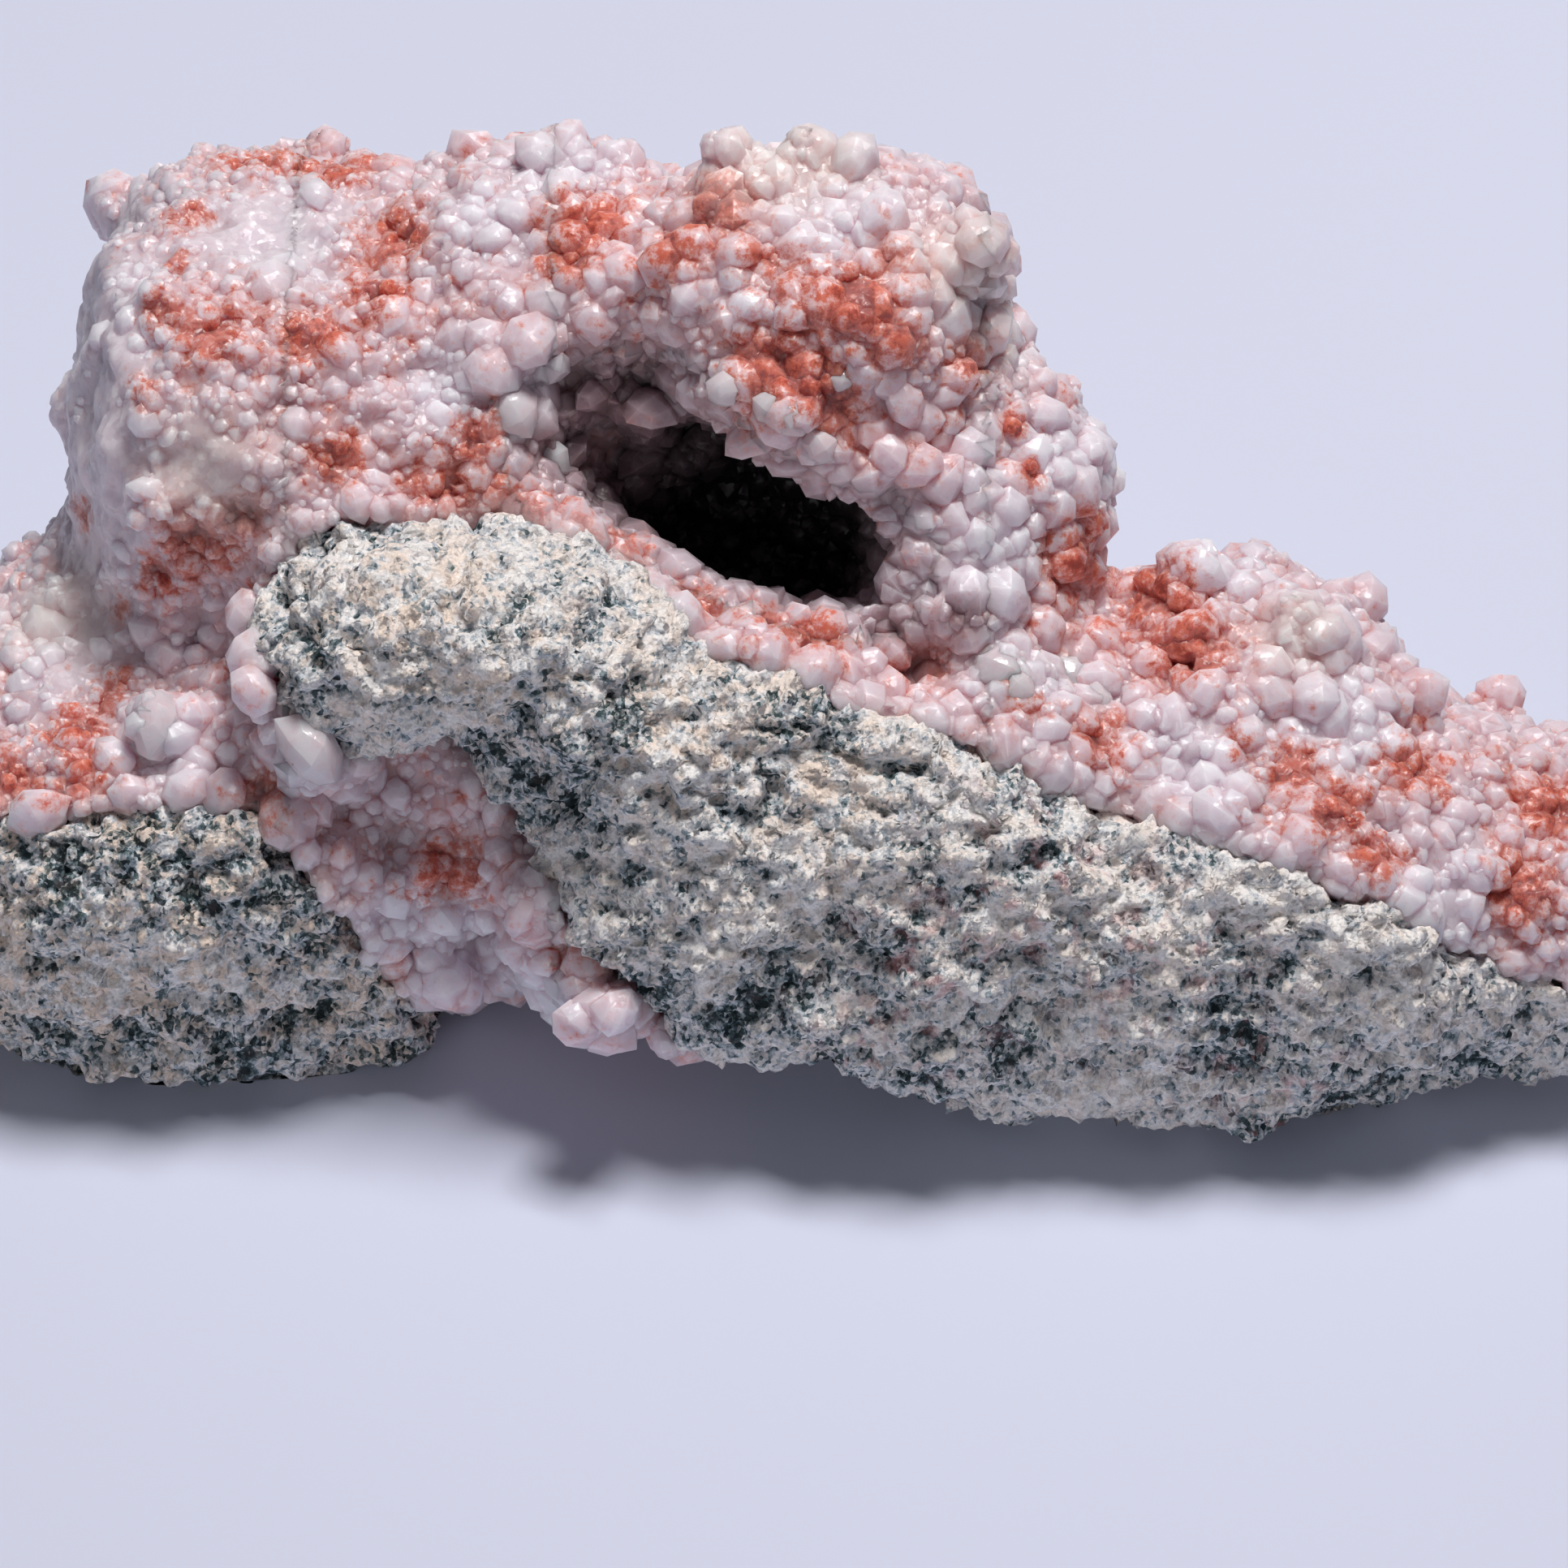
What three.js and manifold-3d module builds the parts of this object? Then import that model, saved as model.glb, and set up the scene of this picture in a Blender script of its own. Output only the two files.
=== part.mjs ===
// Analcime specimen: two blocks of altered volcanic rock, cemented by one mass of intergrown analcime crystals that
// fills the vein between them and swells above them round an open, crystal-lined cavity.
// Millimetres, +Z up. X runs along the length and -Y is the broken front face. The origin is under the middle of the
// specimen, on the surface that it rests on.
import * as THREE from "three";
import { ConvexGeometry } from "three/addons/geometries/ConvexGeometry.js";
import { mergeVertices } from "three/addons/utils/BufferGeometryUtils.js";
import Module from "manifold-3d";

const wasm = await Module();
wasm.setup();

// ---- Driving dimensions ---------------------------------------------------------------------------------------

const CELL = 4.0; // size of the facets of the outside
const CONTACT_CELL = 6.0; // of the hidden faces between the pieces
const CAVITY_CELL = 3.6; // and of the cavity's wall
const GAP = 0.4; // between pieces that touch
const BLEND = 3.0; // how softly one swelling runs into the next
const NOSE_BLEND = 5.0; // and the nose into the slab
const NOSE_SKIN = 1.0; // how far the rock of the nose reaches into the analcime round it
const LINING = 2.2; // thickness of the crystal crust in the cavity
const CRYSTALS = { least: 1.4, most: 2.3, spacing: 11 }; // radii, and how far apart
const LOWEST_CRYSTAL = 9;
const CAVITY_CRYSTALS = { least: 1.3, most: 1.9, spacing: 7 };
const BOUNDS = { low: [-60, -20, -8], high: [64, 50, 52] }; // holds the whole specimen

// Swellings of the outer form: centre, radii, and how square: 2 is an ellipsoid, more is nearer a box.
const FORM = {
  leftBlock: [[-32.5, 13, 7.5], [16.5, 16, 12.5], 3.2],
  leftHeap: [[-27.5, 26.5, 22.5], [12.5, 15.5, 14.5], 2.8],
  saddle: [[-13, 26.5, 25.5], [12, 13, 14], 2.4],
  dome: [[2, 24, 33.5], [10.8, 10, 9.8], 2.2],
  domeFoot: [[0, 25, 20], [14, 12, 14], 2],
  shoulder: [[9, 18.5, 24], [9.5, 9, 9.5], 2],
  rearFoot: [[2, 21, 5], [14, 10, 9], 2.6],
  slabLeft: [[-4, 9, 11.5], [15, 14.5, 16], 2],
  slabMiddle: [[9, 7, 9.5], [15, 14.5, 14.5], 2.2],
  slabRight: [[25, 5.5, 8], [16, 13, 12.5], 2.4],
  tail: [[35, 6, 7], [16, 10.5, 9.5], 2.6],
  tailRidge: [[25, 11.5, 14.5], [10, 9, 9.5], 2.2],
};
const NOSE = {
  tip: [[-23, 5.5, 25.5], [6, 5, 4.5], 2],
  body: [[-16, 6.5, 27.3], [8.5, 6, 5], 2],
};
const HOLLOWS = {
  arch: [[-3, -5, -1.5], [13, 15, 7.5], 2],
  underNose: [[-19, -4.5, 19.5], [8, 5.5, 3.6], 2],
};
const CAVITY = {
  mouthLeft: [[-8.5, 15, 32.5], [7.5, 6, 6], 2],
  mouthRight: [[2, 12, 27.5], [7.5, 5.5, 5.5], 2],
  chamber: [[-1.5, 18, 24], [9, 8, 9.5], 2],
};

// Lumpiness, as the height of the bumps and their wavelength.
const LUMPS = [[0.9, 9], [0.5, 5.3]];
const CONTACT_LUMPS = [[0.8, 6]];
const CAVITY_LUMPS = [[0.5, 4.7]];

// The contact between the slab and the analcime falls to the back from a ridge line, given by Y and Z at X = 0 and
// their slopes along X, down to the seat, which is the top of the rock under the analcime.
const RIDGE = { y: 4, yPerX: -0.24, z: 26, zPerX: -0.31, dip: 62 };
const SEAT = 9;

// The two walls of the vein are square to XZ and lean to the left going up.
const VEIN_LEFT = { x: -25.3, z: 14.8, lean: 27 };
const VEIN_RIGHT = { x: -14, z: 16, lean: 42 };

// The left block's top is a ridge too, and falls to the back under the analcime.
const BLOCK_TOP = { y: 1, z: 22.5, zPerX: 0.12, dip: 24 };

// The largest crystals: X, height across a line of sight that looks down at 45 degrees, and radius.
const SIGHT_HEIGHT = 22; // Z of the sight line of height 0, where it crosses Y = 0
const SIGHT_STEP = 0.2;
const LARGE_CRYSTALS = [
  [-33.8, 2.9, 1.9],
  [-25.5, 1.6, 1.8],
  [-18.2, -9.8, 2.1],
  [-12.9, 23.3, 1.8],
  [-12.4, 34.2, 1.8],
  [-9.4, 34.0, 1.7],
  [-3.0, 34.2, 1.6],
  [0.8, 34.6, 1.7],
  [4.2, 34.2, 1.5],
  [10.0, 28.5, 2.6],
  [-2.4, 21.0, 1.4],
  [0.2, 20.2, 1.4],
  [2.6, 18.3, 1.3],
  [5.6, 17.4, 1.3],
  [9.7, 9.0, 2.1],
  [13.0, 5.8, 1.6],
  [21.9, 11.4, 1.8],
  [28.0, 9.0, 1.9],
  [34.4, 5.0, 1.7],
];

// ---- Fields: each gives a rough distance in millimetres, negative inside ---------------------------------------

const OFFSETS = [0, 1, 2, 3, 4, 5, 6, 7].map((n) => [n & 1, (n >> 1) & 1, n >> 2]); // the corners of a cube

// A number from 0 to 1 that belongs to three coordinates.
function hash(x, y, z) {
  const s = Math.sin(x * 127.1 + y * 311.7 + z * 74.7) * 43758.5453;
  return s - Math.floor(s);
}

// Smooth bumps of the given wavelength, from -1 to 1.
function bumps(p, wavelength) {
  const q = p.map((v) => v / wavelength);
  const cell = q.map(Math.floor);
  const t = q.map((v, i) => (v - cell[i]) ** 2 * (3 - 2 * (v - cell[i])));
  let sum = 0;
  for (const corner of OFFSETS) {
    const weight = corner.reduce((w, c, i) => w * (c ? t[i] : 1 - t[i]), 1);
    sum += weight * hash(...cell.map((v, i) => v + corner[i]));
  }
  return 2 * sum - 1;
}

const lumpy = (lumps, p) => lumps.reduce((sum, [height, wavelength]) => sum + height * bumps(p, wavelength), 0);

function swelling([centre, radii, square], p) {
  const q = p.map((v, i) => Math.abs(v - centre[i]) / radii[i]);
  const near = q.reduce((sum, v) => sum + v ** square, 0) ** (1 / square);
  const steep = Math.hypot(...q.map((v, i) => v ** (square - 1) / radii[i]));
  return steep > 1e-9 ? ((near - 1) * near ** (square - 1)) / steep : -Math.min(...radii);
}

function softMin(a, b, blend) {
  const h = Math.max(blend - Math.abs(a - b), 0) / blend;
  return Math.min(a, b) - (h * h * blend) / 4;
}

const softMax = (a, b, blend) => -softMin(-a, -b, blend);
const swellings = (shapes, p) => Object.values(shapes).reduce((d, s) => softMin(d, swelling(s, p), BLEND), Infinity);

// The whole specimen, without its cavity.
function outer(p) {
  const swollen = softMin(swellings(FORM, p), swellings(NOSE, p), NOSE_BLEND);
  return softMax(swollen, -swellings(HOLLOWS, p), BLEND) + lumpy(LUMPS, p);
}

const cavity = (p) => swellings(CAVITY, p) + lumpy(CAVITY_LUMPS, p);

// How far p is above a face that falls to the back from a ridge line.
function overRidge({ y, yPerX = 0, z, zPerX, dip }, p) {
  const slope = THREE.MathUtils.degToRad(dip);
  return (p[1] - y - yPerX * p[0]) * Math.sin(slope) + (p[2] - z - zPerX * p[0]) * Math.cos(slope);
}

// How far p is to the right of a wall of the vein.
function rightOfWall({ x, z, lean }, p) {
  const slope = THREE.MathUtils.degToRad(lean);
  return (p[0] - x) * Math.cos(slope) + (p[2] - z) * Math.sin(slope);
}

// Where each host rock fills the outer form.
function slabRock(p) {
  const wavy = lumpy(CONTACT_LUMPS, p);
  const under = softMin(overRidge(RIDGE, p), p[2] - SEAT, BLEND) + wavy;
  const body = softMax(under, -rightOfWall(VEIN_RIGHT, p) - wavy, BLEND);
  return softMin(body, swellings(NOSE, p) - NOSE_SKIN, BLEND);
}

function blockRock(p) {
  return softMax(rightOfWall(VEIN_LEFT, p), overRidge(BLOCK_TOP, p), BLEND) + lumpy(CONTACT_LUMPS, p);
}

// ---- From fields to solids -------------------------------------------------------------------------------------

function solidOf(geometry) {
  geometry.deleteAttribute("normal");
  geometry.deleteAttribute("uv");
  const merged = mergeVertices(geometry, 1e-4);
  const vertProperties = new Float32Array(merged.attributes.position.array);
  const triVerts = new Uint32Array(merged.index.array);
  return new wasm.Manifold(new wasm.Mesh({ numProp: 3, vertProperties, triVerts }));
}

const apart = (p, q) => Math.hypot(...p.map((v, i) => v - q[i]));
const CUBE_EDGES = OFFSETS.flatMap((a) => OFFSETS.map((b) => [a, b])).filter(
  ([a, b]) => apart(a, b) === 1 && a.every((v, i) => v <= b[i]),
);

// A corner for the surface in the cell that starts at low: the middle of the spots where it crosses the cell's
// edges, drawn onto it by Newton's method without leaving the cell.
function surfaceCorner(field, low, cell) {
  const at = (offset) => low.map((v, i) => v + offset[i] * cell);
  const crossings = [];
  for (const [a, b] of CUBE_EDGES) {
    const [from, to] = [at(a), at(b)];
    const [start, end] = [field(from), field(to)];
    if (start < 0 !== end < 0) crossings.push(from.map((v, i) => v + ((to[i] - v) * start) / (start - end)));
  }
  if (!crossings.length) return at([0.5, 0.5, 0.5]);
  let p = low.map((_, i) => crossings.reduce((sum, c) => sum + c[i], 0) / crossings.length);
  const nudge = 0.1;
  for (let step = 0; step < 2; step++) {
    const here = field(p);
    const slope = p.map((_, i) => (field(p.map((v, j) => v + (i === j ? nudge : 0))) - here) / nudge);
    const steep = slope.reduce((sum, s) => sum + s * s, 1e-6);
    const moved = p.map((v, i) => v - (here * slope[i]) / steep);
    p = moved.map((v, i) => THREE.MathUtils.clamp(v, low[i] + 0.05 * cell, low[i] + 0.95 * cell));
  }
  return p;
}

// The closed solid of everywhere that the field is negative, with one corner in each cell that its surface crosses.
// All its corners are then moved out by grow.
function solidWhere(field, cell, grow = 0) {
  const size = BOUNDS.low.map((low, axis) => Math.ceil((BOUNDS.high[axis] - low) / cell) + 1);
  const place = (at) => at.map((n, axis) => BOUNDS.low[axis] + n * cell);
  const number = (at) => (at[0] * size[1] + at[1]) * size[2] + at[2];
  const atEdge = (at) => at.some((n, axis) => n === 0 || n === size[axis] - 1);
  const grid = [];
  for (let i = 0; i < size[0]; i++)
    for (let j = 0; j < size[1]; j++) for (let k = 0; k < size[2]; k++) grid.push([i, j, k]);
  const inside = grid.map((at) => !atEdge(at) && field(place(at)) < 0);

  const corners = [];
  const cornerOf = new Map();
  const cornerIn = (at) => {
    const key = number(at);
    if (!cornerOf.has(key)) cornerOf.set(key, corners.push(surfaceCorner(field, place(at), cell)) - 1);
    return cornerOf.get(key);
  };
  const triangles = [];
  for (const at of grid)
    for (let axis = 0; axis < 3; axis++) {
      const next = at.map((n, i) => n + (i === axis));
      if (next[axis] >= size[axis] || inside[number(at)] === inside[number(next)]) continue;
      // The four cells round the grid edge from at to next give the corners of one quad.
      const before = (...axes) => at.map((n, i) => n - axes.includes(i));
      const [b, c] = [(axis + 1) % 3, (axis + 2) % 3];
      const ring = [at, before(b), before(b, c), before(c)].map(cornerIn);
      if (!inside[number(at)]) ring.reverse();
      const [p, q, r, s] = ring;
      const shortCut = apart(corners[p], corners[r]) < apart(corners[q], corners[s]);
      triangles.push(...(shortCut ? [p, q, r, p, r, s] : [q, r, s, q, s, p]));
    }
  const geometry = new THREE.BufferGeometry();
  geometry.setAttribute("position", new THREE.Float32BufferAttribute(corners.flat(), 3));
  geometry.setIndex(triangles);
  geometry.computeVertexNormals();
  const { position, normal } = geometry.attributes;
  position.array.forEach((v, i) => (position.array[i] = v + grow * normal.array[i]));
  return solidOf(geometry);
}

// ---- Crystals --------------------------------------------------------------------------------------------------

// The 24-faced crystal of analcime. Its faces are the planes like 2x + y + z = 2, with both signs of each term.
const TRAPEZOHEDRON = [];
for (const corner of [[1, 0, 0], [0, 1, 0], [0, 0, 1], [2, 2, 0], [2, 0, 2], [0, 2, 2], [1, 1, 1]]) {
  const length = 2 / (corner.reduce((sum, v) => sum + v, 0) + Math.max(...corner)); // puts it on such a plane
  for (const flip of OFFSETS)
    if (corner.every((v, i) => v || !flip[i]))
      TRAPEZOHEDRON.push(new THREE.Vector3(...corner.map((v, i) => (flip[i] ? -v : v) * length)));
}

function crystal([x, y, z], radius) {
  const turn = new THREE.Euler(...[hash(x, y, z), hash(y, z, x), hash(z, x, y)].map((h) => 2 * Math.PI * h));
  const geometry = new ConvexGeometry(TRAPEZOHEDRON);
  geometry.scale(radius, radius, radius);
  geometry.applyMatrix4(new THREE.Matrix4().makeRotationFromEuler(turn));
  return solidOf(geometry.translate(x, y, z));
}

// The first spot of the outer form on a line of sight that looks down at 45 degrees.
function firstMet(x, height) {
  let p;
  for (let depth = BOUNDS.low[1]; depth < BOUNDS.high[1]; depth += SIGHT_STEP) {
    p = [x, (height + depth) * Math.SQRT1_2, SIGHT_HEIGHT + (height - depth) * Math.SQRT1_2];
    if (outer(p) < 0) break;
  }
  return p;
}

// Crystals that stand on a solid's corners, the spacing apart and clear of the spots that are taken.
function crystalsOn(solid, { least, most, spacing }, allowed, taken = []) {
  const { vertProperties, numVert } = solid.getMesh();
  const spots = [...taken];
  for (let n = 0; n < numVert; n++) {
    const p = [...vertProperties.subarray(3 * n, 3 * n + 3)];
    if (allowed(p) && spots.every((q) => apart(p, q) > spacing)) spots.push(p);
  }
  return spots.slice(taken.length).map((p) => crystal(p, least + (most - least) * hash(...p)));
}

// ---- The pieces ------------------------------------------------------------------------------------------------

// Everything below the surface that the specimen rests on.
function ground() {
  const [width, depth, height] = BOUNDS.high.map((high, i) => 2 * Math.max(high, -BOUNDS.low[i]));
  return solidOf(new THREE.BoxGeometry(width, depth, height).translate(0, 0, -height / 2));
}

const whole = solidWhere(outer, CELL).subtract(ground());
const wholeGrown = solidWhere(outer, CELL, GAP);
const hollow = solidWhere(cavity, CAVITY_CELL);

const hostRock = (rock) => whole.intersect(solidWhere(rock, CONTACT_CELL)).subtract(hollow);
const rockSpace = (rock) => wholeGrown.intersect(solidWhere(rock, CONTACT_CELL, GAP));

function analcimeMass() {
  const clearOfRock = (p) => slabRock(p) > 1 && blockRock(p) > 1 && cavity(p) > 1 && p[2] > LOWEST_CRYSTAL;
  const spots = LARGE_CRYSTALS.map(([x, height]) => firstMet(x, height));
  const large = LARGE_CRYSTALS.map(([, , radius], n) => crystal(spots[n], radius));
  const small = crystalsOn(whole, CRYSTALS, clearOfRock, spots);
  const grown = [...large, ...small].reduce((mass, one) => mass.add(one), whole);
  return [hollow, rockSpace(slabRock), rockSpace(blockRock), ground()].reduce((mass, cut) => mass.subtract(cut), grown);
}

function cavityCrust() {
  const space = solidWhere(cavity, CAVITY_CELL, -GAP);
  const face = solidWhere(cavity, CAVITY_CELL, -LINING);
  const crystals = crystalsOn(face, CAVITY_CRYSTALS, (p) => outer(p) < -1);
  const crust = crystals.reduce((sum, one) => sum.add(one), space.subtract(face));
  return crust.intersect(space).intersect(whole);
}

// A named mesh of the solid's main body, without the crumbs that the cuts leave.
function piece(name, solid, color, roughness) {
  const main = solid.decompose().reduce((a, b) => (a.volume() > b.volume() ? a : b));
  const { vertProperties, triVerts } = main.getMesh();
  const geometry = new THREE.BufferGeometry();
  geometry.setAttribute("position", new THREE.BufferAttribute(vertProperties, 3));
  geometry.setIndex(new THREE.BufferAttribute(triVerts, 1));
  geometry.computeVertexNormals();
  const mesh = new THREE.Mesh(geometry, new THREE.MeshStandardMaterial({ color, roughness, metalness: 0 }));
  mesh.name = name;
  return mesh;
}

const specimen = new THREE.Group();
specimen.add(piece("host_rock_slab", hostRock(slabRock), 0xa5a6a2, 0.95));
specimen.add(piece("host_rock_block", hostRock(blockRock), 0x98948f, 0.95));
specimen.add(piece("analcime_mass", analcimeMass(), 0xdcb9b6, 0.5));
specimen.add(piece("cavity_crust", cavityCrust(), 0xc3b2c4, 0.3));
const middle = new THREE.Box3().setFromObject(specimen).getCenter(new THREE.Vector3());
specimen.position.set(-middle.x, -middle.y, 0);

export default specimen;
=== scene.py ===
"""Analcime specimen: two blocks of speckled volcanic rock under a crust of pink and white analcime
crystals, with an open cavity lined with clearer ones. Lengths are in metres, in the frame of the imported
model, where nothing else is said."""

import math

import bmesh
import bpy
import numpy as np
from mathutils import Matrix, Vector
from mathutils.bvhtree import BVHTree
from mathutils.kdtree import KDTree


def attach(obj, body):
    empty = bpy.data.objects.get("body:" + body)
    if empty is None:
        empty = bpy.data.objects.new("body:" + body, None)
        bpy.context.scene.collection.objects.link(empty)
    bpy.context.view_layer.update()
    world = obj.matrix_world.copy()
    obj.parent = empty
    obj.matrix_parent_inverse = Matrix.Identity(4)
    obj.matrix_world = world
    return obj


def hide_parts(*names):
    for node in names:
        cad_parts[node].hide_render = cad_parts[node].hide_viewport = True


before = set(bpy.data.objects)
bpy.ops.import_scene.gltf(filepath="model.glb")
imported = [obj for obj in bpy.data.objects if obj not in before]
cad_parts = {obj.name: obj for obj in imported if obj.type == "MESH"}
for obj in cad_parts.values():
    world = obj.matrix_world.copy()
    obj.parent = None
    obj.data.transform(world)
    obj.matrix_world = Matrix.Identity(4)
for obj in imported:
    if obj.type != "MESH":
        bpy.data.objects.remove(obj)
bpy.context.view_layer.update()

MM = 0.001
SEED = 7

# ---- View: the camera looks along +Y, half way between level and straight down ----

AIM = Vector((-1.021, -17.977, 22.0)) * MM
DISTANCE = 400 * MM
LOOK = Vector((0, math.sqrt(0.5), -math.sqrt(0.5)))
VIEW_UP = Vector((0, math.sqrt(0.5), math.sqrt(0.5)))
VIEW_WIDTH = 84.04 * MM
SENSOR_MM = 36.0
NEAREST_SEEN = 10 * MM


def add_camera():
    data = bpy.data.cameras.new("camera")
    data.sensor_width = SENSOR_MM
    data.lens = SENSOR_MM * DISTANCE / VIEW_WIDTH
    data.clip_start = NEAREST_SEEN
    camera = bpy.data.objects.new("camera", data)
    camera.location = AIM - LOOK * DISTANCE
    camera.rotation_euler = LOOK.to_track_quat("-Z", "Y").to_euler()
    bpy.context.scene.collection.objects.link(camera)
    bpy.context.scene.camera = camera


# ---- Noise on arrays of points ----

MIXERS = (73856093, 19349663, 83492791, 2654435761, 1274126177)
WORD = 2 ** 32

# Each octave of rough noise is half as high as the one before, and the gain brings the sum near -1 to 1.
FADE = 0.5
ROUGH_NOISE_GAIN = 1.4


def lattice(cell, seed):
    """A number from 0 to 1 that belongs to each whole-numbered point."""
    x, y, z = (cell[..., axis].astype(np.int64) for axis in range(3))
    mixed = (x * MIXERS[0]) ^ (y * MIXERS[1]) ^ (z * MIXERS[2]) ^ (seed * MIXERS[3])
    mixed = (mixed ^ (mixed >> 13)) & (WORD - 1)
    mixed = (mixed * MIXERS[4]) & (WORD - 1)
    return (mixed ^ (mixed >> 16)) / WORD


def noise(points, wavelength, seed):
    """Smooth noise from -1 to 1."""
    scaled = points / wavelength
    cell = np.floor(scaled)
    part = scaled - cell
    part = part * part * (3 - 2 * part)
    total = np.zeros(len(points))
    for corner in np.ndindex(2, 2, 2):
        weight = np.prod(np.where(np.array(corner) == 1, part, 1 - part), axis=1)
        total += weight * lattice(cell + corner, seed)
    return 2 * total - 1


def rough_noise(points, wavelength, seed, octaves):
    """Noise summed over octaves, about from -1 to 1."""
    layers = [FADE ** n * noise(points, wavelength / 2 ** n, seed + n) for n in range(octaves)]
    return sum(layers) / sum(FADE ** n for n in range(octaves)) * ROUGH_NOISE_GAIN


def cells(points, size, seed):
    """The distance and offset from the nearest seed point, in cell sizes, and a number of its own."""
    scaled = points / size
    home = np.floor(scaled)
    nearest = np.full(len(points), np.inf)
    offset = np.zeros((len(points), 3))
    number = np.zeros(len(points))
    for step in np.ndindex(3, 3, 3):
        cell = home + np.array(step) - 1
        centre = cell + np.stack([lattice(cell, seed + axis) for axis in range(3)], axis=1)
        away = scaled - centre
        distance = np.linalg.norm(away, axis=1)
        closer = distance < nearest
        nearest = np.where(closer, distance, nearest)
        offset[closer] = away[closer]
        number = np.where(closer, lattice(cell, seed + 5), number)
    return nearest, offset, number


def facet_directions(number):
    """A direction that belongs to each number."""
    turn = number * 2 * np.pi
    height = 2 * ((number * 57.31) % 1) - 1
    level = np.sqrt(1 - height * height)
    return np.stack([level * np.cos(turn), level * np.sin(turn), height], axis=1)


def smooth_step(low, high, value):
    """0 at low and 1 at high, with a smooth rise between."""
    part = np.clip((value - low) / (high - low), 0, 1)
    return part * part * (3 - 2 * part)


# ---- Meshes as arrays ----

def vertex_array(mesh):
    values = np.empty(len(mesh.vertices) * 3)
    mesh.vertices.foreach_get("co", values)
    return values.reshape(-1, 3)


def vertex_normals(mesh):
    values = np.empty(len(mesh.vertices) * 3)
    mesh.vertex_normals.foreach_get("vector", values)
    return values.reshape(-1, 3)


def move_vertices(mesh, points):
    mesh.vertices.foreach_set("co", points.ravel())
    mesh.update()


def add_attribute(mesh, name, values):
    layer = mesh.attributes.get(name) or mesh.attributes.new(name, "FLOAT", "POINT")
    layer.data.foreach_set("value", np.asarray(values, dtype=np.float32))


def values_of(mesh, name):
    values = np.empty(len(mesh.vertices), dtype=np.float32)
    mesh.attributes[name].data.foreach_get("value", values)
    return values


SMOOTHING_ROUNDS = 22
SAME_POINT = 0.001 * MM


def fine_copy(name, nodes, voxel, growth=0.0):
    """A finely divided copy of CAD nodes, fused where they meet, their facets smoothed away."""
    whole = bmesh.new()
    for node in nodes:
        whole.from_mesh(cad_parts[node].data)
    bmesh.ops.remove_doubles(whole, verts=whole.verts, dist=SAME_POINT)
    whole.normal_update()
    for corner in whole.verts:
        corner.co += corner.normal * growth
    coarse = bpy.data.meshes.new(name)
    whole.to_mesh(coarse)
    whole.free()
    piece = bpy.data.objects.new(name, coarse)
    bpy.context.scene.collection.objects.link(piece)
    remesh = piece.modifiers.new("remesh", "REMESH")
    remesh.mode = "VOXEL"
    remesh.voxel_size = voxel
    smooth = piece.modifiers.new("smooth", "SMOOTH")
    smooth.factor = 0.5
    smooth.iterations = SMOOTHING_ROUNDS
    bpy.context.view_layer.update()
    evaluated = piece.evaluated_get(bpy.context.evaluated_depsgraph_get())
    mesh = bpy.data.meshes.new_from_object(evaluated)
    mesh.name = name
    piece.modifiers.clear()
    piece.data = mesh
    mesh.shade_smooth()
    return piece


def node_tree(node):
    """A search tree over the faces of a CAD node."""
    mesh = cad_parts[node].data
    faces = [tuple(face.vertices) for face in mesh.polygons]
    return BVHTree.FromPolygons(vertex_array(mesh).tolist(), faces)


def tree_of(*pieces):
    """One search tree over the faces of the pieces."""
    points, faces = [], []
    for piece in pieces:
        start = len(points)
        points += vertex_array(piece.data).tolist()
        faces += [[start + corner for corner in face.vertices] for face in piece.data.polygons]
    return BVHTree.FromPolygons(points, faces)


def seen_at(tree, right, up):
    """The point and normal that the camera sees at a place in mm right of and above the view's middle."""
    eye = AIM - LOOK * DISTANCE
    aim = AIM + Vector((right * MM, 0, 0)) + VIEW_UP * (up * MM)
    return tree.ray_cast(eye, (aim - eye).normalized())[:2]


# ---- Crystals ----

def trapezohedron():
    """The corners and faces of the 24-faced crystal of analcime, of radius 1."""
    corners = []
    for kind in ((1, 0, 0), (1, 1, 0), (1, 1, 1)):
        shape = np.array(kind, dtype=float)
        for order in sorted(set(tuple(np.roll(shape, turn)) for turn in range(3))):
            for sign in np.ndindex(2, 2, 2):
                corner = np.array(order) * (1 - 2 * np.array(sign))
                if not any(np.allclose(corner, other) for other in corners):
                    corners.append(corner)
    corners = np.array(corners)
    corners *= (2 / (np.abs(corners).sum(axis=1) + np.abs(corners).max(axis=1)))[:, None]
    faces = []
    for axis in range(3):
        for sign in np.ndindex(2, 2, 2):
            normal = (1 + (np.arange(3) == axis)) * (1 - 2 * np.array(sign))
            on_face = np.flatnonzero(np.abs(corners @ normal - 2) < 1e-6)
            across = np.cross(normal, corners[on_face[0]])
            along = np.cross(across, normal)
            middle = corners[on_face].mean(axis=0)
            around = corners[on_face] - middle
            turn = np.arctan2(around @ across, around @ along)
            faces.append(on_face[np.argsort(turn)])
    return corners, np.array(faces)


CORNERS, FACES = trapezohedron()

# How far crystals differ: the spread of their stretch, how far in a worn corner may lie, and how far out
# a corner counts as lying, all as shares of the radius.
STRETCH = 0.17
MOST_WORN = 0.86
LONGEST = 1.4

# How far a face's shading turns towards the direction from its crystal's centre.
ROUNDNESS = 0.52

# Keeps a face without area from a division by zero.
TINY = 1e-15


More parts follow.
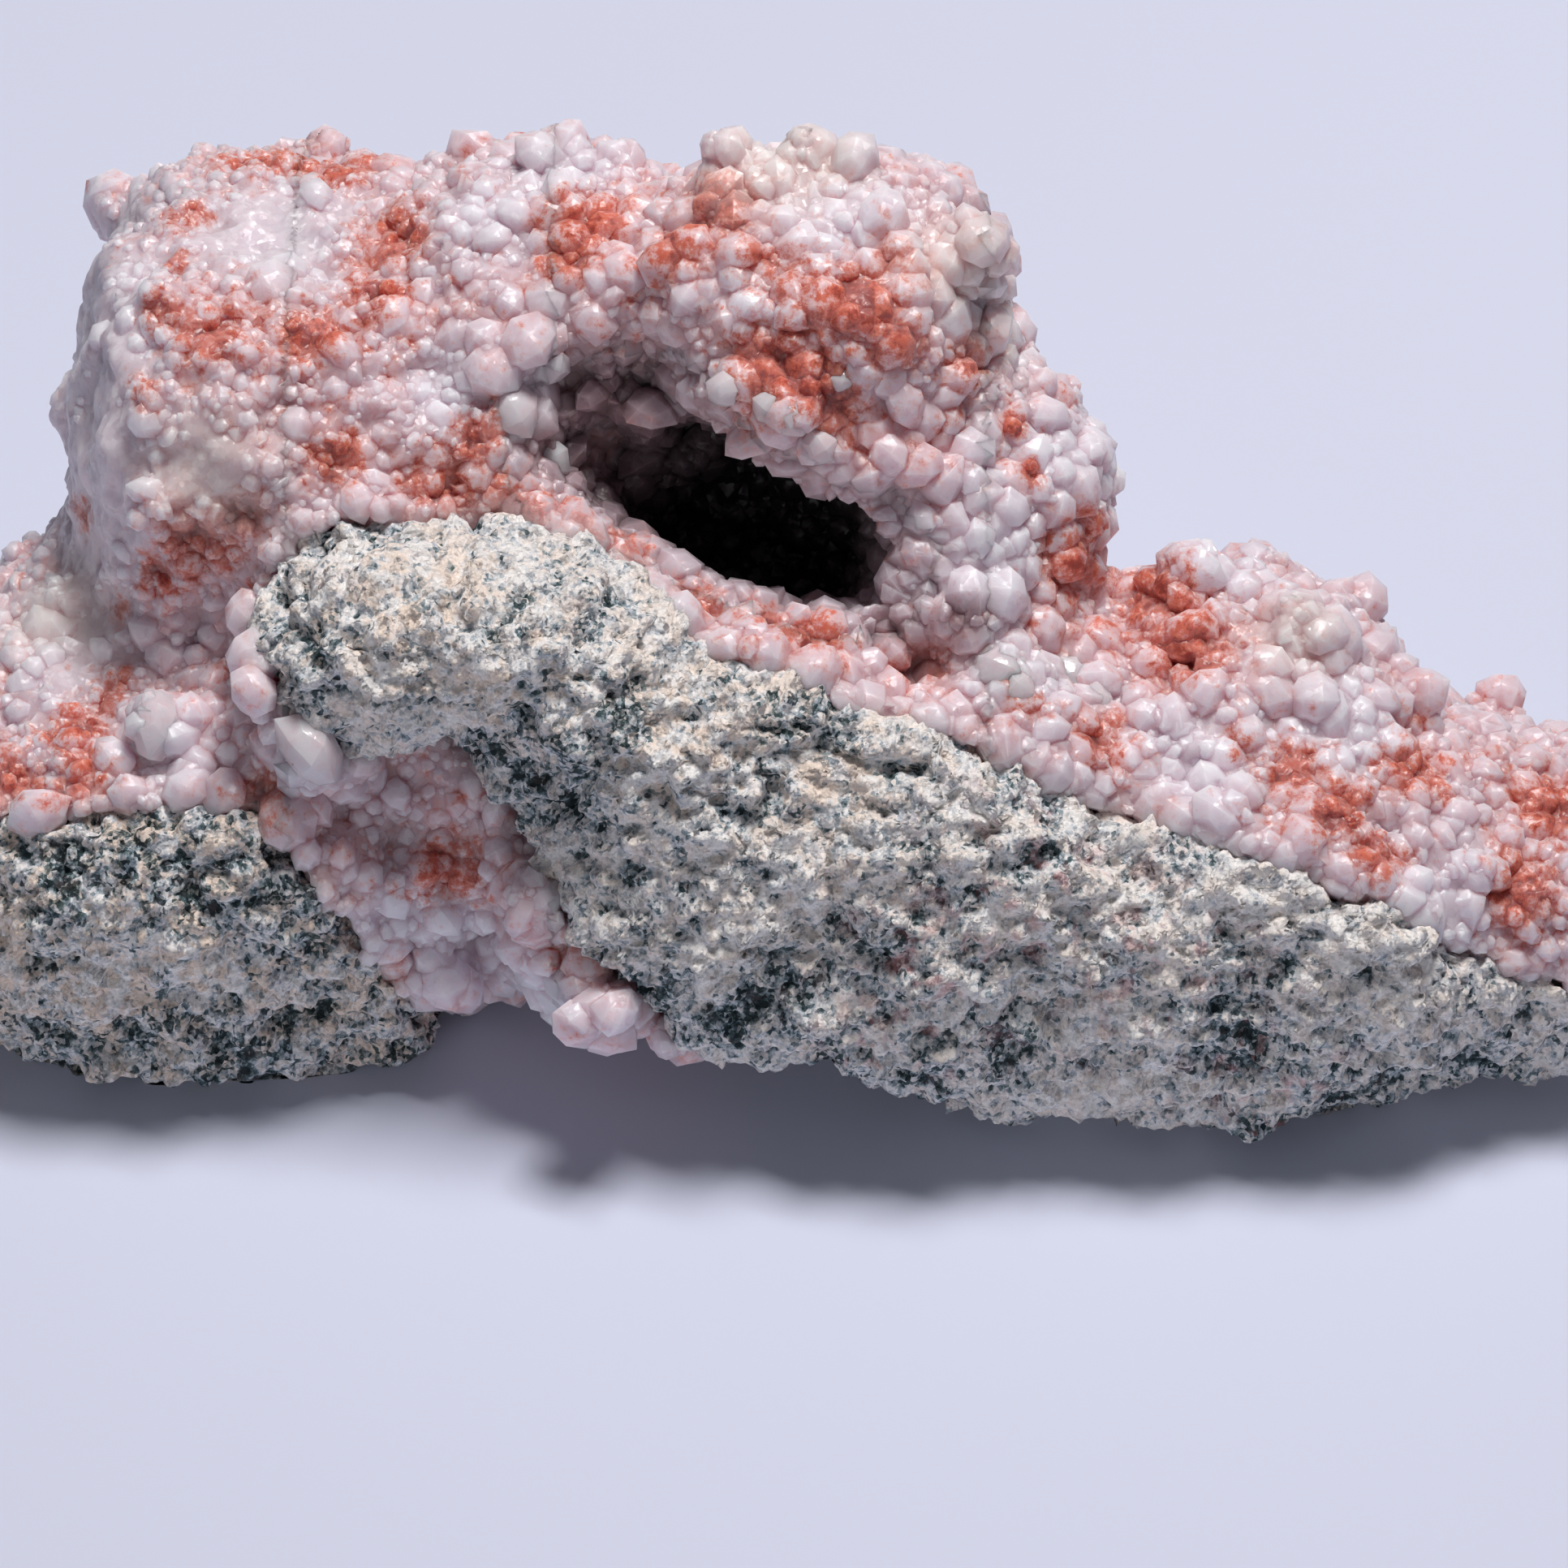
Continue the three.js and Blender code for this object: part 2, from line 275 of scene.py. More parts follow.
def random_turns(count, generator):
    """Random rotation matrices."""
    quaternion = generator.normal(size=(count, 4))
    w, x, y, z = (quaternion / np.linalg.norm(quaternion, axis=1)[:, None]).T
    return np.stack([
        np.stack([1 - 2 * (y * y + z * z), 2 * (x * y - z * w), 2 * (x * z + y * w)], axis=1),
        np.stack([2 * (x * y + z * w), 1 - 2 * (x * x + z * z), 2 * (y * z - x * w)], axis=1),
        np.stack([2 * (x * z - y * w), 2 * (y * z + x * w), 1 - 2 * (x * x + y * y)], axis=1),
    ], axis=1)


def crystal_shapes(radii, generator):
    """The corners of crystals about their centres, each crystal turned and stretched its own way."""
    count = len(radii)
    stretch = np.exp(STRETCH * generator.normal(size=(count, 3)))
    first, second = random_turns(count, generator), random_turns(count, generator)
    shapes = np.einsum("nij,nj,njk,lk->nli", first, stretch, second, CORNERS)
    return radii[:, None, None] * shapes * generator.uniform(MOST_WORN, 1, (count, len(CORNERS), 1))


def crystal_cluster(name, centres, shapes, numbers):
    """Some of the crystals as one mesh, whose faces know the numbers of their crystals."""
    points = centres[numbers, None] + shapes[numbers]
    faces = (FACES[None] + len(CORNERS) * np.arange(len(numbers))[:, None, None]).reshape(-1, 4)
    mesh = joined_mesh(name, points.reshape(-1, 3), faces)
    add_owner(mesh, np.repeat(numbers, len(FACES)))
    piece = bpy.data.objects.new(name, mesh)
    bpy.context.scene.collection.objects.link(piece)
    return piece


def add_owner(mesh, numbers):
    """Gives each face the number of its crystal, or -1 for a face of the bed."""
    layer = mesh.attributes.new("owner", "INT", "FACE")
    layer.data.foreach_set("value", np.asarray(numbers, dtype=np.int32))


def kept_apart(centres, radii):
    """A group number for each crystal, so that crystals of a group never touch."""
    tree = KDTree(len(centres))
    for number, centre in enumerate(centres.tolist()):
        tree.insert(centre, number)
    tree.balance()
    widest = radii.max()
    groups = np.full(len(centres), -1)
    for number, (centre, radius) in enumerate(zip(centres.tolist(), radii.tolist())):
        near = tree.find_range(centre, LONGEST * (radius + widest))
        taken = {groups[other] for _, other, away in near if away < LONGEST * (radius + radii[other])}
        groups[number] = next(group for group in range(len(centres)) if group not in taken)
    return groups


def fused(bed, clusters):
    """The bed and the clusters of crystals as one skin, without what lies inside it."""
    for cluster in clusters:
        union = bed.modifiers.new(cluster.name, "BOOLEAN")
        union.operation = "UNION"
        union.solver = "MANIFOLD"
        union.object = cluster
    bpy.context.view_layer.update()
    mesh = bpy.data.meshes.new_from_object(bed.evaluated_get(bpy.context.evaluated_depsgraph_get()))
    for piece in (bed, *clusters):
        bpy.data.objects.remove(piece)
    return mesh


def skin_of(mesh, centres):
    """The triangles of a mesh, the crystal each belongs to, and the normal at each corner.

    Faces of crystals are shaded slightly rounded, and the bed smooth.
    """
    mesh.calc_loop_triangles()
    faces = np.empty(len(mesh.loop_triangles) * 3, dtype=np.int32)
    mesh.loop_triangles.foreach_get("vertices", faces)
    faces = faces.reshape(-1, 3)
    polygons = np.empty(len(faces), dtype=np.int32)
    mesh.loop_triangles.foreach_get("polygon_index", polygons)
    owners = np.empty(len(mesh.polygons), dtype=np.int32)
    mesh.attributes["owner"].data.foreach_get("value", owners)
    owners = owners[polygons]
    points = vertex_array(mesh)
    a, b, c = (points[faces[:, n]] for n in range(3))
    across = np.cross(b - a, c - a)
    bed = owners < 0
    soft = np.stack([
        np.bincount(faces[bed].ravel(), np.repeat(across[bed, axis], 3), len(points))
        for axis in range(3)
    ], axis=1)
    flat = across / np.maximum(np.linalg.norm(across, axis=1), TINY)[:, None]
    outward = points[faces] - centres[owners][:, None]
    outward /= np.linalg.norm(outward, axis=2)[..., None]
    rounded = (1 - ROUNDNESS) * flat[:, None] + ROUNDNESS * outward
    normals = np.where(bed[:, None, None], soft[faces], rounded)
    return faces, owners, normals / np.maximum(np.linalg.norm(normals, axis=2), TINY)[..., None]


def skin_pieces(mesh, name, faces, normals, count):
    """Triangles of a mesh as pieces side by side along X, with its attributes and the given normals."""
    points = vertex_array(mesh)
    middles = points[faces, 0].mean(axis=1)
    limits = np.quantile(middles, np.linspace(0, 1, count + 1))
    limits[-1] += 1
    pieces = []
    for number in range(count):
        chosen = (middles >= limits[number]) & (middles < limits[number + 1])
        used, renumbered = np.unique(faces[chosen], return_inverse=True)
        part_name = f"{name}_{number + 1}" if count > 1 else name
        part = joined_mesh(part_name, points[used], renumbered.reshape(-1, 3))
        part.shade_smooth()
        part.normals_split_custom_set(normals[chosen].reshape(-1, 3).tolist())
        for layer in mesh.attributes:
            if layer.domain == "POINT" and layer.data_type == "FLOAT":
                add_attribute(part, layer.name, values_of(mesh, layer.name)[used])
        piece = bpy.data.objects.new(part.name, part)
        bpy.context.scene.collection.objects.link(piece)
        pieces.append(piece)
    return pieces


def joined_mesh(name, points, faces):
    """A mesh of faces that all have as many corners."""
    mesh = bpy.data.meshes.new(name)
    mesh.vertices.add(len(points))
    mesh.vertices.foreach_set("co", points.ravel())
    mesh.loops.add(faces.size)
    mesh.loops.foreach_set("vertex_index", faces.ravel().astype(np.int32))
    mesh.polygons.add(len(faces))
    mesh.polygons.foreach_set("loop_start", np.arange(0, faces.size, faces.shape[1], dtype=np.int32))
    mesh.update(calc_edges=True)
    return mesh


def surface_samples(mesh, count, generator):
    """Random points on a mesh, with its normals, even over the area."""
    mesh.calc_loop_triangles()
    corners = np.empty(len(mesh.loop_triangles) * 3, dtype=np.int32)
    mesh.loop_triangles.foreach_get("vertices", corners)
    corners = corners.reshape(-1, 3)
    points = vertex_array(mesh)
    normals = vertex_normals(mesh)
    a, b, c = (points[corners[:, n]] for n in range(3))
    area = np.linalg.norm(np.cross(b - a, c - a), axis=1)
    chosen = generator.choice(len(corners), size=count, p=area / area.sum())
    u, v = generator.random((2, count))
    flip = u + v > 1
    u, v = np.where(flip, 1 - u, u), np.where(flip, 1 - v, v)
    weights = np.stack([1 - u - v, u, v], axis=1)
    where = np.einsum("nk,nkj->nj", weights, points[corners[chosen]])
    facing = np.einsum("nk,nkj->nj", weights, normals[corners[chosen]])
    return where, facing / np.linalg.norm(facing, axis=1)[:, None]


NEIGHBOURS = [(i, j, k) for i in (-1, 0, 1) for j in (-1, 0, 1) for k in (-1, 0, 1)]


def well_spaced(points, spacing):
    """Picks points in turn, each clear of the ones picked before it by the mean of the two spacings."""
    widest = float(spacing.max())
    grid = {}
    picked = []
    for number, (point, gap) in enumerate(zip(points.tolist(), spacing.tolist())):
        home = tuple(int(v // widest) for v in point)
        boxes = ((home[0] + i, home[1] + j, home[2] + k) for i, j, k in NEIGHBOURS)
        around = (near for box in boxes for near in grid.get(box, ()))
        if all(math.dist(near[:3], point) >= (gap + near[3]) / 2 for near in around):
            grid.setdefault(home, []).append((*point, gap))
            picked.append(number)
    return np.array(picked)


# ---- Shader nodes as expressions ----

class Wire:
    """A socket of a shader that takes part in Python expressions."""

    def __init__(self, finish, socket):
        self.finish = finish
        self.socket = socket

    def beside(self, output):
        """Another output of the same node."""
        return Wire(self.finish, self.socket.node.outputs[output])

    def _math(self, operation, first, second):
        return self.finish.node("ShaderNodeMath", {"operation": operation}, {0: first, 1: second})

    def __add__(self, other):
        return self._math("ADD", self, other)

    def __sub__(self, other):
        return self._math("SUBTRACT", self, other)

    def __rsub__(self, other):
        return self._math("SUBTRACT", other, self)

    def __mul__(self, other):
        return self._math("MULTIPLY", self, other)

    __radd__ = __add__
    __rmul__ = __mul__

    def smaller(self, other):
        return self._math("MINIMUM", self, other)

    def larger(self, other):
        return self._math("MAXIMUM", self, other)

    def step(self, low, high):
        """0 below low and 1 above high, with a smooth rise between."""
        settings = {"interpolation_type": "SMOOTHSTEP"}
        inputs = {"Value": self, "From Min": low, "From Max": high}
        return self.finish.node("ShaderNodeMapRange", settings, inputs)


class Finish:
    """A material built from expressions."""

    def __init__(self, name):
        self.material = bpy.data.materials.new(name)
        self.material.use_nodes = True
        self.tree = self.material.node_tree
        self.tree.nodes.clear()
        self.place = self.node("ShaderNodeTexCoord", output="Object")

    def node(self, kind, settings=None, inputs=None, output=0):
        """A new node with its settings, values and links, as the wire from one of its outputs."""
        made = self.tree.nodes.new(kind)
        for name, value in (settings or {}).items():
            if name == "stops":
                self._set_stops(made.color_ramp, value)
            else:
                setattr(made, name, value)
        for name, value in (inputs or {}).items():
            if isinstance(value, Wire):
                self.tree.links.new(value.socket, made.inputs[name])
            else:
                made.inputs[name].default_value = value
        return Wire(self, made.outputs[output]) if made.outputs else made

    @staticmethod
    def _set_stops(ramp, stops):
        while len(ramp.elements) < len(stops):
            ramp.elements.new(0.5)
        for element, (position, colour) in zip(ramp.elements, stops):
            element.position = position
            element.color = (*colour, 1)

    def mask(self, name):
        """A number that the mesh carries at each vertex."""
        return self.node("ShaderNodeAttribute", {"attribute_name": name}, output="Fac")

    def noise(self, wavelength, detail=3, roughness=0.55, seed=0.0, warp=0.0):
        settings = {"noise_dimensions": "4D"}
        inputs = {
            "Vector": self.place,
            "W": seed,
            "Scale": 1 / wavelength,
            "Detail": detail,
            "Roughness": roughness,
            "Distortion": warp,
        }
        return self.node("ShaderNodeTexNoise", settings, inputs, "Fac")

    def grains(self, size):
        """A colour for each of the cells that fill the solid."""
        return self.node("ShaderNodeTexVoronoi", {}, {"Vector": self.place, "Scale": 1 / size}, "Color")

    def channel(self, colour, output):
        return self.node("ShaderNodeSeparateColor", {}, {"Color": colour}, output)

    def ramp(self, value, stops):
        return self.node("ShaderNodeValToRGB", {"stops": stops}, {"Fac": value}, "Color")

    def mix(self, below, above, share, blend="MIX"):
        settings = {"data_type": "RGBA", "blend_type": blend, "clamp_factor": True}
        below, above = (c if isinstance(c, Wire) else (*c, 1) for c in (below, above))
        return self.node("ShaderNodeMix", settings, {"Factor": share, 6: below, 7: above}, 2)

    def facets(self, size):
        """Heights of small flat faces, each tilted its own way, in metres."""
        colour = self.grains(size)
        inputs = {0: self.place, 1: colour.beside("Position")}
        across = self.node("ShaderNodeVectorMath", {"operation": "SUBTRACT"}, inputs)
        inputs = {0: colour, 1: (0.5, 0.5, 0.5)}
        tilt = self.node("ShaderNodeVectorMath", {"operation": "SUBTRACT"}, inputs)
        settings = {"operation": "DOT_PRODUCT"}
        return self.node("ShaderNodeVectorMath", settings, {0: across, 1: tilt}, "Value")

    def bump(self, height, depth, strength=1.0):
        inputs = {"Height": height, "Distance": depth, "Strength": strength}
        return self.node("ShaderNodeBump", {}, inputs, "Normal")

    def surface(self, inputs):
        shader = self.node("ShaderNodeBsdfPrincipled", {}, inputs)
        self.node("ShaderNodeOutputMaterial", {}, {"Surface": shader})
        return self.material


# ---- Where things are ----

# Places are in mm right of and above the middle of the view, each with a radius in mm.

RED_STAINS = [
    (-21.1, 29.0, 2.6), (-21.6, 25.9, 2.2), (-25.3, 24.2, 2.0), (-30.7, 24.2, 2.6), (-31.6, 13.3, 3.0),
    (-29.4, 14.2, 1.8), (-18.5, 15.9, 2.4), (-14.2, 13.7, 3.2), (-11.6, 13.7, 2.4), (-10.3, 30.3, 2.8),
    (-11.6, 28.1, 2.2), (-5.9, 29.0, 2.2), (-2.9, 31.1, 2.4), (-0.7, 22.2, 2.8), (2.3, 21.1, 2.4),
    (4.5, 25.9, 3.2), (-1.1, 27.2, 2.4), (-1.6, 23.7, 2.0), (6.3, 23.7, 2.4), (-27.2, 33.3, 3.6),
    (-23.7, 32.7, 2.4), (-32.0, 30.3, 1.6), (-32.7, 28.1, 1.2), (-37.7, 14.2, 1.6), (12.1, 19.2, 1.1),
    (13.2, 16.8, 1.0), (15.8, 12.0, 2.6), (20.2, 9.8, 3.4), (21.5, 7.2, 2.4), (16.7, 2.0, 2.0),
    (12.8, 4.6, 1.6), (27.6, 0.7, 2.4), (33.7, 0.7, 2.4), (41.5, -1.5, 2.6), (39.8, -5.8, 2.2),
    (-41.1, -0.6, 2.6), (-37.7, 0.3, 2.4), (-38.5, 2.9, 2.0), (-36.4, 5.0, 1.6), (-0.7, 8.1, 2.4),
    (-4.6, 9.8, 1.6), (1.5, 7.7, 2.2), (7.1, 5.9, 2.2), (-18.1, -5.0, 2.4), (-21.6, -9.7, 1.6),
    (-27.7, -1.0, 1.6), (-10.7, -8.7, 1.6), (29.8, -1.5, 2.0), (31.9, -3.7, 2.0), (-33.3, 11.6, 2.0),
    (-8.5, 12.6, 1.8), (-16.3, 18.5, 1.8), (-24.0, 17.5, 1.6), (24.5, 1.5, 1.6), (9.7, 22.5, 1.6),
    (-34.4, 21.1, 1.5), (-35.6, 9.4, 1.3), (-33.6, 25.5, 1.2),
]
# White patches of the crystal; those on the steep left wall (right about -36 to -38) are also painted light
# that lightens the shaded wall.
WHITE_PATCHES_AND_PAINTED_LIGHT = [
    (-27.7, 29.4, 4.8), (-12.0, 32.9, 2.6), (-16.1, 30.7, 2.4), (-18.0, -7.5, 3.5), (-12.5, -11.5, 4.0),
    (-20.5, -7.0, 2.5), (23.2, 0.3, 3.6), (34.1, -6.7, 3.6), (11.5, 11.6, 3.2), (23.2, 12.0, 2.8),
    (-33.8, 2.9, 2.0), (-25.5, 1.5, 2.4), (13.5, 6.0, 2.4), (-1.5, 26.0, 2.0), (-18.0, 21.0, 2.2),
    (-36.2, 27.5, 3.0), (-36.2, 18.5, 3.4), (-36.0, 14.0, 3.4), (-37.0, 9.5, 3.2), (-38.0, 5.5, 2.6),
    (-13.5, 21.0, 2.2), (3.0, 30.5, 2.6), (17.5, 17.5, 2.6), (14.5, 17.5, 2.6), (30.0, 3.0, 3.0),
    (-36.0, 24.0, 4.0), (-37.5, 18.0, 4.0),
]
TAN_PATCHES = [
    (-31.1, 16.8, 3.4), (-39.4, 9.4, 3.4), (9.7, 27.7, 3.4), (-0.3, 33.8, 3.8), (27.6, 8.5, 2.6),
    (12.0, 25.0, 2.6), (2.5, 33.5, 2.4),
]
# Painted shade: spots on the cavity's half-shadowed inner wall under its arch and by the small hole,
# darkened in the shader.
PAINTED_SHADE_PATCHES = [
    (-9.5, 20.5, 3.2), (-6.5, 19.5, 2.8), (-11.5, 17.5, 2.6), (-9.0, 16.0, 3.0), (-3.5, 19.0, 2.0),
    (7.0, 6.0, 1.8), (-11.5, 21.5, 2.4), (-8.0, 22.5, 2.2), (-12.8, 18.5, 2.0), (9.7, 9.0, 1.5),
    (6.0, 8.0, 1.4),
]
COARSE_AREAS = [(-25.5, 2.0, 5.0), (-33.0, 3.0, 3.5), (-16.0, -9.0, 6.0)]
SMOOTH_AREAS = [
    (-27.7, 29.4, 4.6), (-31.1, 16.8, 3.0), (-36.2, 27.5, 2.8), (-36.2, 23.0, 3.2), (-36.2, 18.5, 3.2),
    (-36.0, 14.0, 3.2), (-37.0, 9.5, 3.0), (-38.0, 6.0, 2.4),
]

# Hollows and lumps, each with its depth or height in mm as well.
HOLLOWS = [
    (-11.3, 21.5, 2.4, 4.4), (-7.8, 21.8, 2.6, 5.0), (-12.2, 18.3, 2.3, 3.4), (-9.5, 18.0, 3.0, 5.4),
    (-5.5, 19.3, 2.4, 4.4), (-8.5, 15.2, 2.6, 3.2), (-23.3, -1.5, 2.2, 1.8), (-20.8, -3.2, 1.6, 1.3),
    (-20.3, -9.7, 1.2, 1.4), (-15.9, -8.7, 1.3, 1.1), (-11.8, -9.4, 1.1, 1.0), (32.4, -2.8, 1.6, 1.3),
    (7.0, 6.2, 1.7, 2.6), (5.2, 8.2, 1.4, 1.6), (-26.5, 20.5, 1.6, 0.8), (12.5, 17.8, 1.0, 0.9),
    (26.5, 3.5, 1.4, 0.8), (20.5, 6.0, 1.2, 0.8), (-30.5, 9.5, 2.0, 0.8), (-19.0, 22.0, 2.0, 0.8),
]
LUMPS = [
    (-15.1, -12.4, 1.6, 1.6), (-11.6, -12.8, 1.5, 1.6), (-9.0, -11.9, 1.2, 1.2),
    (-18.1, -10.8, 1.6, 1.5), (-17.7, -5.8, 2.4, 0.8), (-13.2, -6.7, 2.4, 0.9), (-33.3, 3.7, 2.2, 1.0),
    (-29.8, 2.9, 2.0, 0.9), (-25.8, 2.2, 1.8, 1.1), (-28.6, 5.6, 1.8, 0.6), (-14.6, 22.8, 2.0, 1.1),
    (-9.5, 26.0, 2.2, 1.2), (-5.5, 26.0, 2.0, 1.1), (0.5, 20.8, 2.0, 0.8), (5.5, 18.2, 1.8, 0.7),
    (4.0, 24.5, 2.4, 0.6), (14.5, 8.5, 1.8, 0.8), (-3.5, 28.5, 2.4, 0.6), (22.5, 11.5, 1.8, 0.8),
    (28.5, 8.5, 1.8, 0.7), (34.8, 5.0, 1.6, 0.7),
]

# The largest crystals, by kind.
MILKY_CRYSTALS = [
    (2.8, 30.9, 1.9), (-13.1, 23.3, 1.9), (-15.1, 25.5, 1.7), (-9.8, 24.6, 1.6), (-7.2, 25.1, 1.5),
    (-5.0, 25.5, 1.4), (5.8, 17.7, 1.3), (7.1, 18.5, 1.2), (14.1, 8.1, 1.6), (8.2, 11.6, 1.5),
    (7.1, 14.2, 1.3), (-31.6, 3.7, 1.5), (-29.0, 2.9, 1.5), (-17.9, -10.8, 1.9), (-15.9, -8.7, 1.3),
    (-13.7, -10.2, 1.5), (-11.6, -12.4, 1.4), (-14.2, -12.6, 1.3), (-16.4, -12.0, 1.2),
    (-21.1, -6.3, 1.6), (-19.4, -8.0, 1.3), (-14.2, -7.1, 1.3), (31.9, 7.2, 1.6), (35.4, 5.0, 1.4),
    (36.7, 3.3, 1.2), (23.4, 12.0, 1.3), (29.3, 8.7, 1.3), (-2.0, 23.0, 1.6), (0.8, 24.6, 1.5),
    (8.5, 21.0, 1.6), (12.0, 15.5, 1.5), (15.0, 17.0, 1.5), (-12.4, 34.0, 1.6), (-9.4, 34.0, 1.5),
    (9.0, 27.5, 1.5), (10.8, 25.5, 1.4),
]
CLEAR_CRYSTALS = [
    (-2.9, 21.1, 1.25), (-0.9, 20.3, 1.35), (0.5, 19.7, 1.2), (1.9, 18.1, 1.4), (3.0, 21.6, 1.1),
    (21.9, 12.9, 1.8), (11.7, 6.4, 1.8), (15.4, 5.9, 1.3), (16.7, 4.6, 1.1), (-33.8, 2.9, 1.8),
    (-25.5, 1.4, 2.1), (-14.2, 20.3, 1.7), (-12.4, 17.7, 1.7), (13.0, 5.0, 1.2),
]
ROCK_CRACKS = [
    [(-11.6, -1.5), (-10.7, 0.2), (-9.8, 1.6)],
    [(-6.6, -0.2), (-5.2, -1.6), (-3.6, -1.0)],
]
ROCK_PITS = [
    (-23.1, 7.2, 0.5), (-22.7, 6.4, 0.45), (-13.7, 3.5, 0.4), (-0.3, -0.4, 0.5), (-0.7, -1.0, 0.4),
]
CREAM_ROCK = [
    (-20.2, 9.0, 6.0), (-15.0, 5.0, 5.0), (-24.0, 8.5, 5.0), (-5.0, 3.0, 5.0), (2.0, 1.5, 5.0),
]
ROSY_ROCK = [
    (14.0, -6.0, 6.0), (8.0, -10.0, 5.0), (6.0, -14.0, 4.0), (20.0, -10.0, 5.0), (26.0, -16.0, 4.0),
]
# Dark patches of the rock; those along the bottom edge (up below about -11) darken the shaded lower rim as
# painted shade.
DARK_ROCK_AND_RIM_SHADE = [
    (24.0, -14.0, 4.0), (30.0, -15.0, 4.0), (38.0, -14.0, 4.0), (10.0, 2.5, 2.4), (22.0, -3.5, 2.0),
    (-9.0, 3.7, 2.0), (-14.0, 1.0, 2.4), (-11.0, -1.5, 1.8), (1.5, 4.2, 1.8), (-37.7, -5.0, 3.0),
    (-40.0, -1.5, 3.0), (-33.0, -6.0, 2.6), (-31.1, -3.2, 2.4), (-35.0, -3.8, 2.2), (-2.9, -13.2, 2.4),
    (-7.5, -11.5, 2.2), (3.0, -14.8, 2.4), (8.0, -16.0, 2.4), (14.0, -18.5, 2.6), (20.0, -19.5, 2.6),
    (26.0, -18.5, 2.6), (32.0, -16.5, 2.6), (-11.5, 2.3, 3.0), (-16.0, 1.8, 3.0), (-21.0, 1.5, 2.4),
    (-26.0, -6.0, 2.4), (14.5, -4.5, 1.8), (5.5, -8.5, 1.8), (18.5, -10.0, 2.0), (-29.5, -14.0, 2.6),
    (12.0, -15.0, 3.0),
]


def nearness(points, centres):
    """1 at the centres, given with their radii, and less away from them."""
    best = np.zeros(len(points))
    for centre, radius in centres:
        away = np.linalg.norm(points - centre, axis=1) / radius
        best = np.maximum(best, np.exp(-away * away))
    return best


def placed(tree, spots):
    """The spots of a list above as points on the specimen, with their radii."""
    found = [(seen_at(tree, right, up)[0], radius * MM) for right, up, radius in spots]
    return [(np.array(point), radius) for point, radius in found if point is not None]


# ---- The rock ----

ROCK_VOXEL = 0.32 * MM

# Layers of the rock's relief, with heights, depths and wavelengths in mm.
BEDDING = (0.75, 1.0, 1.15)
BEDDING_LEAN = (0.0, 0.12, 0.2)
ROCK_LUMPS = ((0.75, 6.0, 0, 2), (0.50, 2.3, 9, 3))    # height, wavelength, seed, octaves
ROCK_LEDGES = ((0.55, 4.2, 60), (0.45, 1.9, 64))       # height, size, seed
RIDGE_HEIGHT = 0.18
RIDGE_WAVELENGTH = 3.0
GRAIN_SIZE = 0.85
GRAIN_DOME = 0.42
GRAIN_STEP = 0.40
CRUMB_HEIGHT = 0.30
CRUMB_WAVELENGTH = 0.9
HOLE_DEPTH = 0.50
HOLE_WAVELENGTH = 1.5
PIT_DEPTH = 1.5
CRACK_DEPTH = 1.1
CRACK_HALF_WIDTH = 0.28
CRACK_WANDER = 0.35
CRACK_STEPS = 12
UNDERCUT = 2.2
UNDERCUT_HEIGHT = 2.4


def rock_relief(points, seed):
    """The heights of lumps and ledges, and of grains and holes, over points of the rock, in mm."""
    bedded = points * BEDDING + points[:, [2, 0, 1]] * BEDDING_LEAN
    lumps = sum(
        height * rough_noise(bedded, wavelength * MM, seed + extra, octaves)
        for height, wavelength, extra, octaves in ROCK_LUMPS
    )
    ledges = np.zeros(len(points))
    for height, size, extra in ROCK_LEDGES:
        _, away, number = cells(bedded, size * MM, seed + extra)
        ledges += height * (away * facet_directions(number)).sum(axis=1)
    ridges = 1 - 2 * np.abs(rough_noise(bedded, RIDGE_WAVELENGTH * MM, seed + 20, 2))
    ledges += RIDGE_HEIGHT * ridges
    nearest, _, number = cells(points, GRAIN_SIZE * MM, seed + 30)
    crumbs = rough_noise(points, CRUMB_WAVELENGTH * MM, seed + 33, 3)
    grains = GRAIN_DOME * (0.5 - nearest) + GRAIN_STEP * (number - 0.5) + CRUMB_HEIGHT * crumbs
    holes = -HOLE_DEPTH * smooth_step(0.20, 0.60, rough_noise(points, HOLE_WAVELENGTH * MM, seed + 40, 2))
    return lumps, ledges, grains, holes


def crack(points, tree, path, seed):
    """How deep a crack along a path cuts at points, in mm."""
    spots = [seen_at(tree, right, up)[0] for right, up in path]
    if None in spots:
        return np.zeros(len(points))
    steps = np.array([
        start.lerp(end, step / CRACK_STEPS)
        for start, end in zip(spots, spots[1:])
        for step in range(CRACK_STEPS + 1)
    ])
    wander = np.stack([noise(points, 1.1 * MM, seed + extra) for extra in (50, 51, 52)], axis=1)
    wandered = points + CRACK_WANDER * MM * wander
    away = np.linalg.norm(wandered[:, None] - steps[None], axis=2).min(axis=1)
    return CRACK_DEPTH * np.exp(-(away / (CRACK_HALF_WIDTH * MM)) ** 2)


